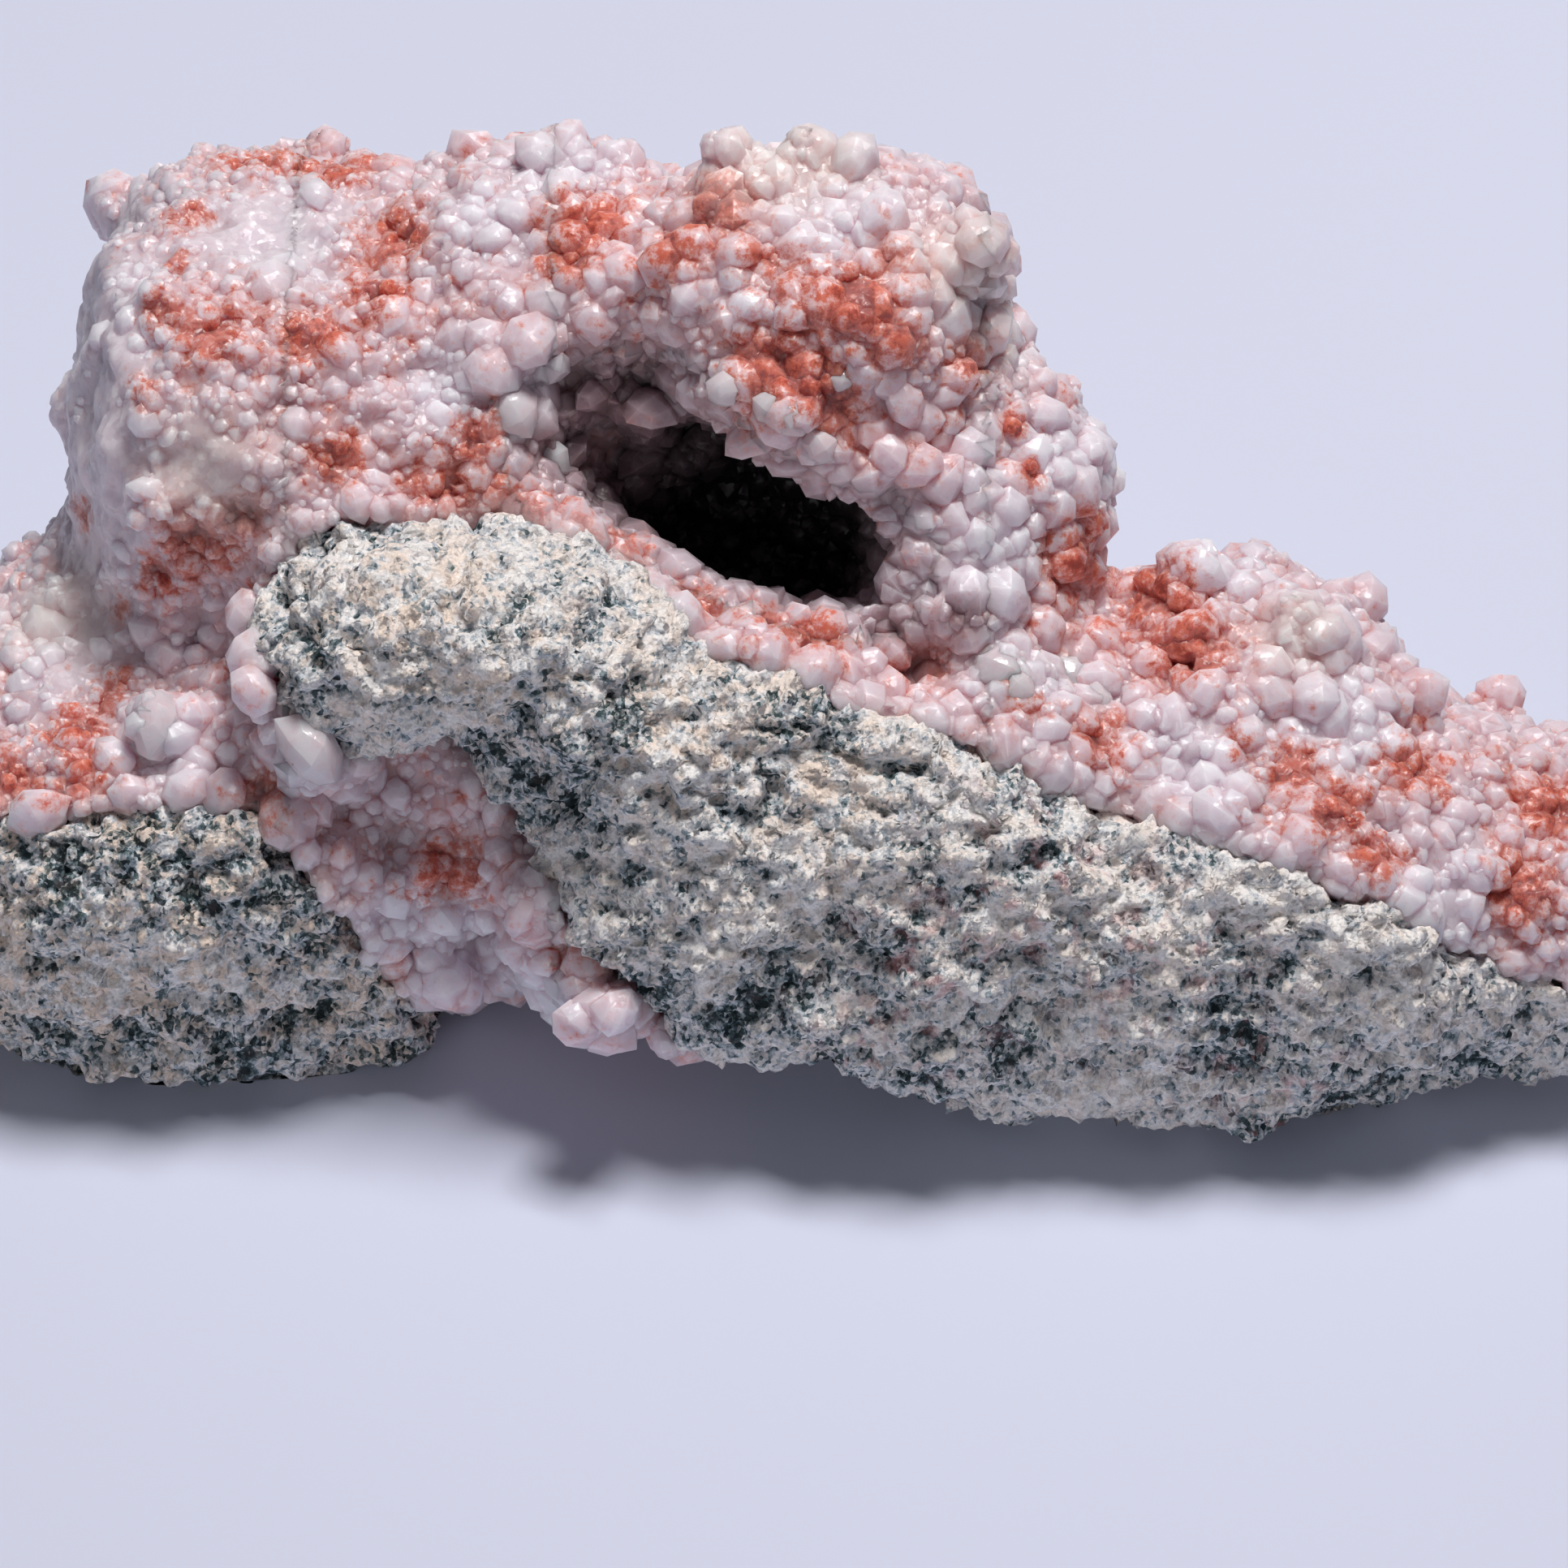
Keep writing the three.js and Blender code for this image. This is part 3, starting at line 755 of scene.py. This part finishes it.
def weathered_rock(name, node, seed):
    """Rock with lumps, ledges, grains, pits and cracks."""
    piece = fine_copy(name, [node], ROCK_VOXEL)
    mesh = piece.data
    points = vertex_array(mesh)
    normals = vertex_normals(mesh)
    tree = tree_of(piece)
    lumps, ledges, grains, holes = rock_relief(points, seed)
    relief = lumps + ledges + grains + holes
    for path in ROCK_CRACKS:
        relief -= crack(points, tree, path, seed)
    relief -= PIT_DEPTH * nearness(points, placed(tree, ROCK_PITS))
    undercut = UNDERCUT * smooth_step(UNDERCUT_HEIGHT * MM, 0.0, points[:, 2])
    moved = points + (normals * relief[:, None] - normals * (1, 1, 0) * undercut[:, None]) * MM
    moved[:, 2] = np.maximum(moved[:, 2], 0)
    move_vertices(mesh, moved)
    # Recesses of the relief: the shader darkens them, partly for the dark green grains that lie there and
    # partly as painted shade.
    add_attribute(mesh, "recess", smooth_step(0.05, -0.75, grains + holes + 0.4 * ledges + 0.3 * lumps))
    # Painted light: the rock is lightened towards the right, where its faces get less light.
    add_attribute(mesh, "pale", smooth_step(2 * MM, 16 * MM, points[:, 0]))
    # Painted shade: the rock is darkened near the floor, along its low rim.
    add_attribute(mesh, "low", smooth_step(7 * MM, 1 * MM, points[:, 2]))
    for mask, spots in (("cream", CREAM_ROCK), ("rosy", ROSY_ROCK), ("dark", DARK_ROCK_AND_RIM_SHADE)):
        add_attribute(mesh, mask, nearness(points, placed(tree, spots)))
    return piece


# ---- The analcime ----

CRYSTAL_VOXEL = 0.43 * MM
NODE_GROWTH = 0.15 * MM
ROCK_REACH = 1.2 * MM
CAVITY_MOUTH = (-4.0, -6.0, 30.0)

# Layers of the bed's relief, in mm. Noise for streaks is drawn out along Z.
SWELL = ((0.55, 5.0, 0, 2), (0.42, 2.2, 3, 3))    # height, wavelength, seed, octaves
SWELL_SINK = 0.38
FACET_HEIGHT = 0.6
FACET_SIZE = 1.5
STREAKED = (1, 1, 0.35)
STREAK_HEIGHT = 0.45
ROCK_LIP = 0.45

# The usual radius of a crystal in mm, and what is added in coarse areas and on sides away from the camera.
SMALL_RADIUS = 0.42
EXTRA_COARSE = 0.34
EXTRA_HIDDEN = 0.14

# How far the radii spread, and their limits.
SIZE_SPREAD = 0.48
LARGEST = 1.7 * MM
SMALLEST = 0.25 * MM

# How crystals crowd together and sink in the bed, as shares of a radius.
CROWDING = 0.84
LEAST_SUNK = 0.30
MOST_SUNK = 0.72
CLEAR_SUNK = 0.35

CRYSTAL_TRIES = 50000
MASS_PIECES = 4


def covered(tree, points, normals, reach):
    """Which points have the tree's surface close in front of them."""
    rays = zip(points.tolist(), normals.tolist())
    hits = (tree.ray_cast(Vector(point), Vector(normal), reach)[0] for point, normal in rays)
    return np.array([hit is not None for hit in hits])


def crystal_spots(mesh, rock_tree, radius_at, bare_at, generator, special):
    """Centres and radii of crystals that crowd a surface, the largest first, where no rock covers it."""
    points, normals = surface_samples(mesh, CRYSTAL_TRIES, generator)
    free = bare_at(points, normals) < generator.random(CRYSTAL_TRIES)
    points, normals = points[free], normals[free]
    free = ~covered(rock_tree, points, normals, ROCK_REACH)
    points, normals = points[free], normals[free]
    radii = radius_at(points, normals) * np.exp(SIZE_SPREAD * generator.normal(size=len(points)))
    radii = np.minimum(radii, LARGEST)
    order = np.argsort(-radii)
    found = (points[order], normals[order], radii[order])
    points, normals, radii = (np.concatenate(pair) for pair in zip(special, found))
    picked = well_spaced(points, CROWDING * radii)
    points, normals, radii = (values[picked] for values in (points, normals, radii))
    sunk = radii * generator.uniform(LEAST_SUNK, MOST_SUNK, len(radii))
    centres = points - normals * sunk[:, None]
    radii = np.minimum(radii, centres[:, 2] / LONGEST)
    kept = radii > SMALLEST
    return centres[kept], radii[kept]


def near_rock(rock_tree, points):
    """1 where points touch the rock and 0 where they are well away from it."""
    reach = 2 * MM
    nearest = (rock_tree.find_nearest(Vector(point), reach)[3] for point in points.tolist())
    gaps = np.array([reach if gap is None else gap for gap in nearest])
    return smooth_step(1.6 * MM, 0.2 * MM, gaps)


def left_wall(points, normals, least, full):
    """1 on the steep wall at the left, where normals face far enough left, and 0 elsewhere."""
    return smooth_step(least, full, -normals[:, 0]) * smooth_step(-28 * MM, -36 * MM, points[:, 0])


def masks_for_analcime(mesh, tree, rock_tree):
    """Where the mass is stained, white, streaked or tan, or meets the rock, with painted shade on the
    cavity's inner wall and painted light whitening the steep left wall beyond its own pale colour.
    """
    points = vertex_array(mesh)
    normals = vertex_normals(mesh)
    unseen = smooth_step(-0.15, 0.35, normals @ np.array(LOOK))
    scattered = smooth_step(0.15, 0.55, rough_noise(points, 9 * MM, SEED + 70, 2))
    wall = left_wall(points, normals, 0.3, 0.7)
    streaks = smooth_step(-0.05, 0.45, rough_noise(points * STREAKED, 2.0 * MM, SEED + 80, 3))
    red = nearness(points, placed(tree, RED_STAINS))
    white = nearness(points, placed(tree, WHITE_PATCHES_AND_PAINTED_LIGHT))
    add_attribute(mesh, "red", np.maximum(red, 0.8 * unseen * scattered))
    # Painted light: the steep left wall is whitened beyond its own pale colour to lighten its shade.
    add_attribute(mesh, "white", np.maximum(white, 0.95 * wall))
    add_attribute(mesh, "streaks", streaks * wall)
    add_attribute(mesh, "tan", nearness(points, placed(tree, TAN_PATCHES)))
    add_attribute(mesh, "contact", near_rock(rock_tree, points))
    # Painted shade spots on the cavity's inner wall.
    add_attribute(mesh, "grime", nearness(points, placed(tree, PAINTED_SHADE_PATCHES)))


def on_surface(tree, spots):
    """The spots of a list above as points, normals and radii on the specimen."""
    found = [(*seen_at(tree, right, up), radius * MM) for right, up, radius in spots]
    found = [spot for spot in found if spot[0] is not None]
    points = np.array([tuple(point) for point, _, _ in found])
    normals = np.array([tuple(normal) for _, normal, _ in found])
    return points, normals, np.array([radius for _, _, radius in found])


def distances_to(tree, points):
    return np.array([tree.find_nearest(Vector(point))[3] for point in points.tolist()])


def cavity_depth(points):
    """How far points lie behind the mouth of the cavity, in mm."""
    return (points / MM - CAVITY_MOUTH) @ np.array(LOOK)


def lining_share(points):
    """1 where points belong to the lining of the cavity and 0 where they belong to the mass round it."""
    from_crust = distances_to(node_tree("cavity_crust"), points)
    from_mass = distances_to(node_tree("analcime_mass"), points)
    return smooth_step(0.6 * MM, -0.6 * MM, from_crust - from_mass)


def smoothness(places, facing, spots):
    """Where the crust is bare of crystals: the given spots and the steep wall at the left."""
    edge = 0.3 * rough_noise(places, 2.5 * MM, SEED + 90, 2)
    patches = smooth_step(0.35, 0.75, nearness(places, spots) + edge)
    return np.maximum(patches, left_wall(places, facing, 0.45, 0.8))


def coarseness(places, spots):
    """Where crystals are large: at the given spots and right of the left end, but less on the tail."""
    tail = smooth_step(8 * MM, 16 * MM, places[:, 0])
    right = smooth_step(-22 * MM, -11 * MM, places[:, 0]) * (1 - 0.4 * tail)
    return np.maximum(right, nearness(places, spots))


def crystal_bed(rock_tree, smooth_spots):
    """The surface under the crystals, from the pink mass and the lining of its cavity fused together."""
    bed = fine_copy("analcime", ["analcime_mass", "cavity_crust"], CRYSTAL_VOXEL, NODE_GROWTH)
    mesh = bed.data
    points = vertex_array(mesh)
    normals = vertex_normals(mesh)
    swell = sum(
        height * rough_noise(points, wavelength * MM, SEED + extra, octaves)
        for height, wavelength, extra, octaves in SWELL
    )
    swell = swell - SWELL_SINK
    _, away, number = cells(points, FACET_SIZE * MM, SEED + 6)
    smooth = smoothness(points, normals, smooth_spots)
    swell += FACET_HEIGHT * (away * facet_directions(number)).sum(axis=1) * (1 - 0.65 * smooth)
    swell += STREAK_HEIGHT * smooth * rough_noise(points * STREAKED, 1.8 * MM, SEED + 80, 3)
    swell *= 1 - 0.6 * lining_share(points)
    swell += ROCK_LIP * near_rock(rock_tree, points)
    rough_tree = tree_of(bed)
    for right, up, radius, height in LUMPS:
        swell += height * nearness(points, placed(rough_tree, [(right, up, radius)]))
    sink = np.zeros(len(points))
    for right, up, radius, depth in HOLLOWS:
        sink = np.maximum(sink, depth * nearness(points, placed(rough_tree, [(right, up, radius)])))
    moved = points + (normals * swell[:, None] + np.array(LOOK) * sink[:, None]) * MM
    moved[:, 2] = np.maximum(moved[:, 2], 0)
    move_vertices(mesh, moved)
    return bed


def mark_crystals(mesh, faces, owners, radii, generator):
    """Gives vertices their crystal's tint and size, and says which lie on creases between crystals, which
    the shader darkens as painted shade and stains a little more.
    """
    count = len(mesh.vertices)
    corners = faces.ravel()
    each = np.repeat(owners, 3)
    highest = np.full(count, -2)
    lowest = np.full(count, len(radii))
    np.maximum.at(highest, corners, each)
    np.minimum.at(lowest, corners, each)
    crystal = highest >= 0
    add_attribute(mesh, "tint", np.where(crystal, generator.random(len(radii))[highest], 0.5))
    add_attribute(mesh, "crease", (highest != lowest) | ~crystal)
    add_attribute(mesh, "rim", (highest == lowest) & crystal)
    add_attribute(mesh, "crystal", np.where(crystal, smooth_step(0.5 * MM, 1.3 * MM, radii)[highest], 0))


def analcime_crust(bed, tree, rock_tree, smooth_spots, coarse_spots, generator):
    """The bed fused with the crystals that crowd it, as pieces for the mass and for its cavity's lining."""

    def radius_at(places, facing):
        hidden = smooth_step(-0.1, 0.4, facing @ np.array(LOOK))
        coarse = coarseness(places, coarse_spots)
        return (SMALL_RADIUS + EXTRA_COARSE * coarse + EXTRA_HIDDEN * hidden) * MM

    def bare_at(places, facing):
        return smoothness(places, facing, smooth_spots)

    special = on_surface(tree, MILKY_CRYSTALS)
    centres, radii = crystal_spots(bed.data, rock_tree, radius_at, bare_at, generator, special)
    shapes = crystal_shapes(radii, generator)
    groups = kept_apart(centres, radii)
    clusters = [
        crystal_cluster(f"group_{number}", centres, shapes, np.flatnonzero(groups == number))
        for number in range(groups.max() + 1)
    ]
    add_owner(bed.data, np.full(len(bed.data.polygons), -1))
    mesh = fused(bed, clusters)
    faces, owners, normals = skin_of(mesh, centres)
    points = vertex_array(mesh)
    lining = lining_share(points)
    add_attribute(mesh, "lining", lining)
    mark_crystals(mesh, faces, owners, radii, generator)
    masks_for_analcime(mesh, tree, rock_tree)
    # Painted shade: the depth behind the cavity's mouth darkens the lining in the shader, to near black far
    # in.
    add_attribute(mesh, "depth", np.maximum(cavity_depth(points), 0) * lining)
    inside = lining[faces].mean(axis=1) > 0.5
    mass = skin_pieces(mesh, "analcime_crystals", faces[~inside], normals[~inside], MASS_PIECES)
    cavity = skin_pieces(mesh, "cavity_lining", faces[inside], normals[inside], 1)
    return mass, cavity


def clear_crystals(name, spots, tree, generator):
    """Single see-through crystals."""
    points, facing, radii = on_surface(tree, spots)
    centres = points - CLEAR_SUNK * facing * radii[:, None]
    shapes = crystal_shapes(radii, generator)
    cluster = crystal_cluster("clear", centres, shapes, np.arange(len(centres)))
    faces, _, normals = skin_of(cluster.data, centres)
    add_attribute(cluster.data, "tint", np.repeat(generator.random(len(centres)), len(CORNERS)))
    piece = skin_pieces(cluster.data, name, faces, normals, 1)[0]
    bpy.data.objects.remove(cluster)
    return piece


# ---- Materials ----

ROCK_TONES = [
    (0.20, (0.020, 0.036, 0.042)), (0.36, (0.080, 0.125, 0.140)), (0.46, (0.27, 0.34, 0.38)),
    (0.56, (0.52, 0.57, 0.62)), (0.68, (0.77, 0.77, 0.79)), (0.85, (0.94, 0.91, 0.89)),
]
WARM_ROCK = (1.0, 0.83, 0.70)
RUSTY_ROCK = (0.62, 0.30, 0.30)

PALE_LILAC = (0.72, 0.63, 0.695)
PINK = (0.76, 0.48, 0.50)
GREY_LINING = (0.50, 0.40, 0.44)
MILK = (0.84, 0.79, 0.86)
LIGHT_STAIN = (0.78, 0.47, 0.45)
RED_STAIN = (0.65, 0.15, 0.085)
DEEP_STAIN = (0.30, 0.045, 0.035)
TAN = (0.85, 0.77, 0.74)
BY_THE_ROCK = (0.80, 0.70, 0.73)
PAINTED_CREASE_SHADE = (0.62, 0.40, 0.42)
STREAK_GREY = (0.46, 0.40, 0.47)
PAINTED_SHADE_COLOUR = (0.34, 0.21, 0.225)
PAINTED_CAVITY_SHADE = (0.22, 0.16, 0.18)
PAINTED_CAVITY_DARK = (0.02, 0.017, 0.02)
CLEAR_PALE = (0.96, 0.88, 0.92)
CLEAR_PINK = (0.92, 0.74, 0.78)

ANALCIME_INDEX = 1.487


def rock_finish(name, brightness, warmth):
    """Speckled rock: cream and grey grains with dark green ones in the hollows, the hollows and the low rim
    darkened further as painted shade and the right side lightened as painted light.
    """
    finish = Finish(name)
    cream, rosy, dark = (finish.mask(mask) for mask in ("cream", "rosy", "dark"))
    recess, pale, low = (finish.mask(mask) for mask in ("recess", "pale", "low"))
    small = finish.channel(finish.grains(0.26 * MM), "Red")
    large = finish.channel(finish.grains(0.6 * MM), "Green")
    fine = finish.noise(0.9 * MM, detail=5, roughness=0.7)
    patch = finish.noise(3.2 * MM, detail=3, seed=2.0)
    tone = (
        0.64 + brightness
        + (small - 0.5) * 0.46 + (large - 0.5) * 0.26 + (fine - 0.5) * 1.30 + (patch - 0.5) * 0.90
        # Painted light: lighter towards the right.
        + cream * 0.06 + pale * 0.12
        # Painted shade: the dark spots along the lower rim, the recesses (partly real dark grains) and the
        # low rim near the floor are darkened.
        - dark * 0.26 - recess * 0.30 - low * 0.19
    )
    grains = finish.ramp(tone, ROCK_TONES)
    warm = finish.noise(1.1 * MM, detail=3, seed=5.0).step(0.42, 0.60)
    colour = finish.mix(grains, WARM_ROCK, warm * (cream * 0.4 + warmth), "MULTIPLY")
    rust = finish.noise(1.3 * MM, detail=3, seed=8.0).step(0.50, 0.66)
    colour = finish.mix(colour, RUSTY_ROCK, rust * (rosy * 0.6 + 0.06))
    height = fine * (0.22 * MM) + finish.facets(0.45 * MM) + finish.facets(0.2 * MM)
    return finish.surface({
        "Base Color": colour,
        "Roughness": 0.88,
        "Specular IOR Level": 0.3,
        "Normal": finish.bump(height, 1.0),
    })


def analcime_finish(name):
    """Milky white to pink crystal with red stain; painted shade darkens the creases between crystals, the
    inner wall under the cavity's arch and, to near black, the depth of the cavity.
    """
    finish = Finish(name)
    red, white, tan, contact = (finish.mask(mask) for mask in ("red", "white", "tan", "contact"))
    tint, crease, rim, lining = (finish.mask(mask) for mask in ("tint", "crease", "rim", "lining"))
    streaks, grime, crystal = (finish.mask(mask) for mask in ("streaks", "grime", "crystal"))
    cloud = finish.noise(4.0 * MM, detail=5, roughness=0.62, warp=0.4)
    speck = finish.noise(0.9 * MM, detail=5, roughness=0.75, seed=3.0)
    veil = finish.noise(1.8 * MM, detail=4, roughness=0.6, seed=9.0)
    gloom = finish.noise(3.0 * MM, detail=3, seed=11.0)
    pinkness = (
        cloud.step(0.38, 0.62) * 0.4 + red * 0.7 - white * 0.6
        + (tint - 0.5) * 0.5 + (veil - 0.5) * 1.2
    )
    stain = (
        red * 1.15 + (cloud - 0.5) * 1.7 + (speck - 0.5) * 4.0 + (tint - 0.5) * 0.3
        + crease * 0.10 - white * 0.5 - lining * 0.25
    )
    depth = finish.mask("depth") + (gloom - 0.5) * 2.0
    colour = finish.mix(PALE_LILAC, PINK, (pinkness + 0.24).larger(0.0))
    colour = finish.mix(colour, GREY_LINING, lining * 0.85)
    colour = finish.mix(colour, MILK, (rim * 0.30 + white * 0.85).smaller(1.0))
    colour = finish.mix(colour, LIGHT_STAIN, stain.step(0.05, 0.60) * 0.8)
    colour = finish.mix(colour, RED_STAIN, stain.step(0.42, 0.95) * 0.92)
    colour = finish.mix(colour, DEEP_STAIN, (stain + (veil - 0.5) * 1.5).step(0.90, 1.45) * 0.85)
    colour = finish.mix(colour, TAN, tan * 0.85)
    colour = finish.mix(colour, BY_THE_ROCK, contact * 0.45)
    # Painted shade in the creases between crystals and on the bed between them.
    colour = finish.mix(colour, PAINTED_CREASE_SHADE, crease * 0.22)
    colour = finish.mix(colour, STREAK_GREY, streaks * 0.4)
    # Painted shade on the cavity's inner wall under its arch.
    colour = finish.mix(colour, PAINTED_SHADE_COLOUR, grime * 0.85)
    # Painted shade: the cavity darkens with depth, to near black far in.
    colour = finish.mix(colour, PAINTED_CAVITY_SHADE, depth.step(1.0, 5.0) * 0.7)
    colour = finish.mix(colour, PAINTED_CAVITY_DARK, depth.step(3.5, 13.0))
    grain = (finish.facets(0.9 * MM) * 0.9 + finish.facets(0.36 * MM)) * (1.0 - crystal * 0.5)
    return finish.surface({
        "Base Color": colour,
        "Roughness": 0.36,
        "IOR": ANALCIME_INDEX,
        "Subsurface Weight": 1.0,
        "Subsurface Radius": (1.0, 0.82, 0.85),
        "Subsurface Scale": 1.8 * MM,
        "Normal": finish.bump(grain, 1.0, 0.6),
    })


def clear_finish(name):
    """See-through crystal with a faint colour of its own."""
    finish = Finish(name)
    cloud = finish.noise(1.6 * MM, detail=4, roughness=0.6, seed=1.0)
    pinkness = cloud.step(0.42, 0.62) * 0.7 + finish.mask("tint") * 0.3
    grain = finish.noise(0.4 * MM, detail=3, roughness=0.6, seed=6.0)
    return finish.surface({
        "Base Color": finish.mix(CLEAR_PALE, CLEAR_PINK, pinkness),
        "Roughness": 0.14,
        "IOR": ANALCIME_INDEX,
        "Transmission Weight": 0.30,
        "Subsurface Weight": 0.8,
        "Subsurface Radius": (1.0, 0.7, 0.7),
        "Subsurface Scale": 0.8 * MM,
        "Normal": finish.bump(grain, 0.08 * MM, 0.5),
    })


# ---- Surroundings ----

FLOOR_HALF_SIDE = 1.5
FLOOR_COLOUR = (0.68, 0.71, 0.86, 1)
SKY_COLOUR = (0.86, 0.89, 1.0, 1)
SKY_STRENGTH = 0.06


def add_floor():
    side = FLOOR_HALF_SIDE
    mesh = bpy.data.meshes.new("floor")
    corners = [(-side, -side, 0), (side, -side, 0), (side, side, 0), (-side, side, 0)]
    mesh.from_pydata(corners, [], [(0, 1, 2, 3)])
    floor = bpy.data.objects.new("floor", mesh)
    bpy.context.scene.collection.objects.link(floor)
    mesh.materials.append(Finish("floor").surface({"Base Color": FLOOR_COLOUR, "Roughness": 0.75}))


def add_light(name, place, size, power, colour):
    """A square light at a place seen from the aim of the view, turned towards that aim."""
    data = bpy.data.lights.new(name, "AREA")
    data.size = size
    data.energy = power
    data.color = colour
    light = bpy.data.objects.new(name, data)
    light.location = AIM + Vector(place)
    light.rotation_euler = (-Vector(place)).to_track_quat("-Z", "Y").to_euler()
    bpy.context.scene.collection.objects.link(light)


def add_surroundings():
    add_floor()
    add_light("window", place=(0.06, 0.115, 0.478), size=0.14, power=2.40, colour=(1.0, 0.98, 0.97))
    add_light("bounce", place=(-0.12, -0.45, 0.10), size=0.40, power=0.46, colour=(0.95, 0.96, 1.0))
    world = bpy.data.worlds.new("world")
    world.use_nodes = True
    background = world.node_tree.nodes["Background"]
    background.inputs["Color"].default_value = SKY_COLOUR
    background.inputs["Strength"].default_value = SKY_STRENGTH
    bpy.context.scene.world = world
    bpy.context.scene.view_settings.view_transform = "Standard"


# ---- The scene ----

add_camera()
add_surroundings()

random = np.random.default_rng(SEED)
slab = weathered_rock("rock_slab", "host_rock_slab", SEED + 100)
block = weathered_rock("rock_block", "host_rock_block", SEED + 200)
rock_tree = tree_of(slab, block)
mass_tree = node_tree("analcime_mass")
coarse_spots = placed(mass_tree, COARSE_AREAS)
smooth_spots = placed(mass_tree, SMOOTH_AREAS)
bed = crystal_bed(rock_tree, smooth_spots)
bed_tree = tree_of(bed)
mass, cavity = analcime_crust(bed, bed_tree, rock_tree, smooth_spots, coarse_spots, random)
clear = clear_crystals("clear_crystals", CLEAR_CRYSTALS, bed_tree, random)

slab.data.materials.append(rock_finish("slab_rock", brightness=0.13, warmth=0.40))
block.data.materials.append(rock_finish("block_rock", brightness=0.13, warmth=0.90))
analcime = analcime_finish("analcime")
cavity_analcime = analcime_finish("cavity_analcime")
for piece in mass:
    piece.data.materials.append(analcime)
for piece in cavity:
    piece.data.materials.append(cavity_analcime)
clear.data.materials.append(clear_finish("clear_analcime"))

for piece in (slab, block, *mass, *cavity, clear):
    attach(piece, "root")
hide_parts("host_rock_slab")
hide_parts("host_rock_block")
for piece in mass:
    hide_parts("analcime_mass")
for piece in cavity:
    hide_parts("cavity_crust")
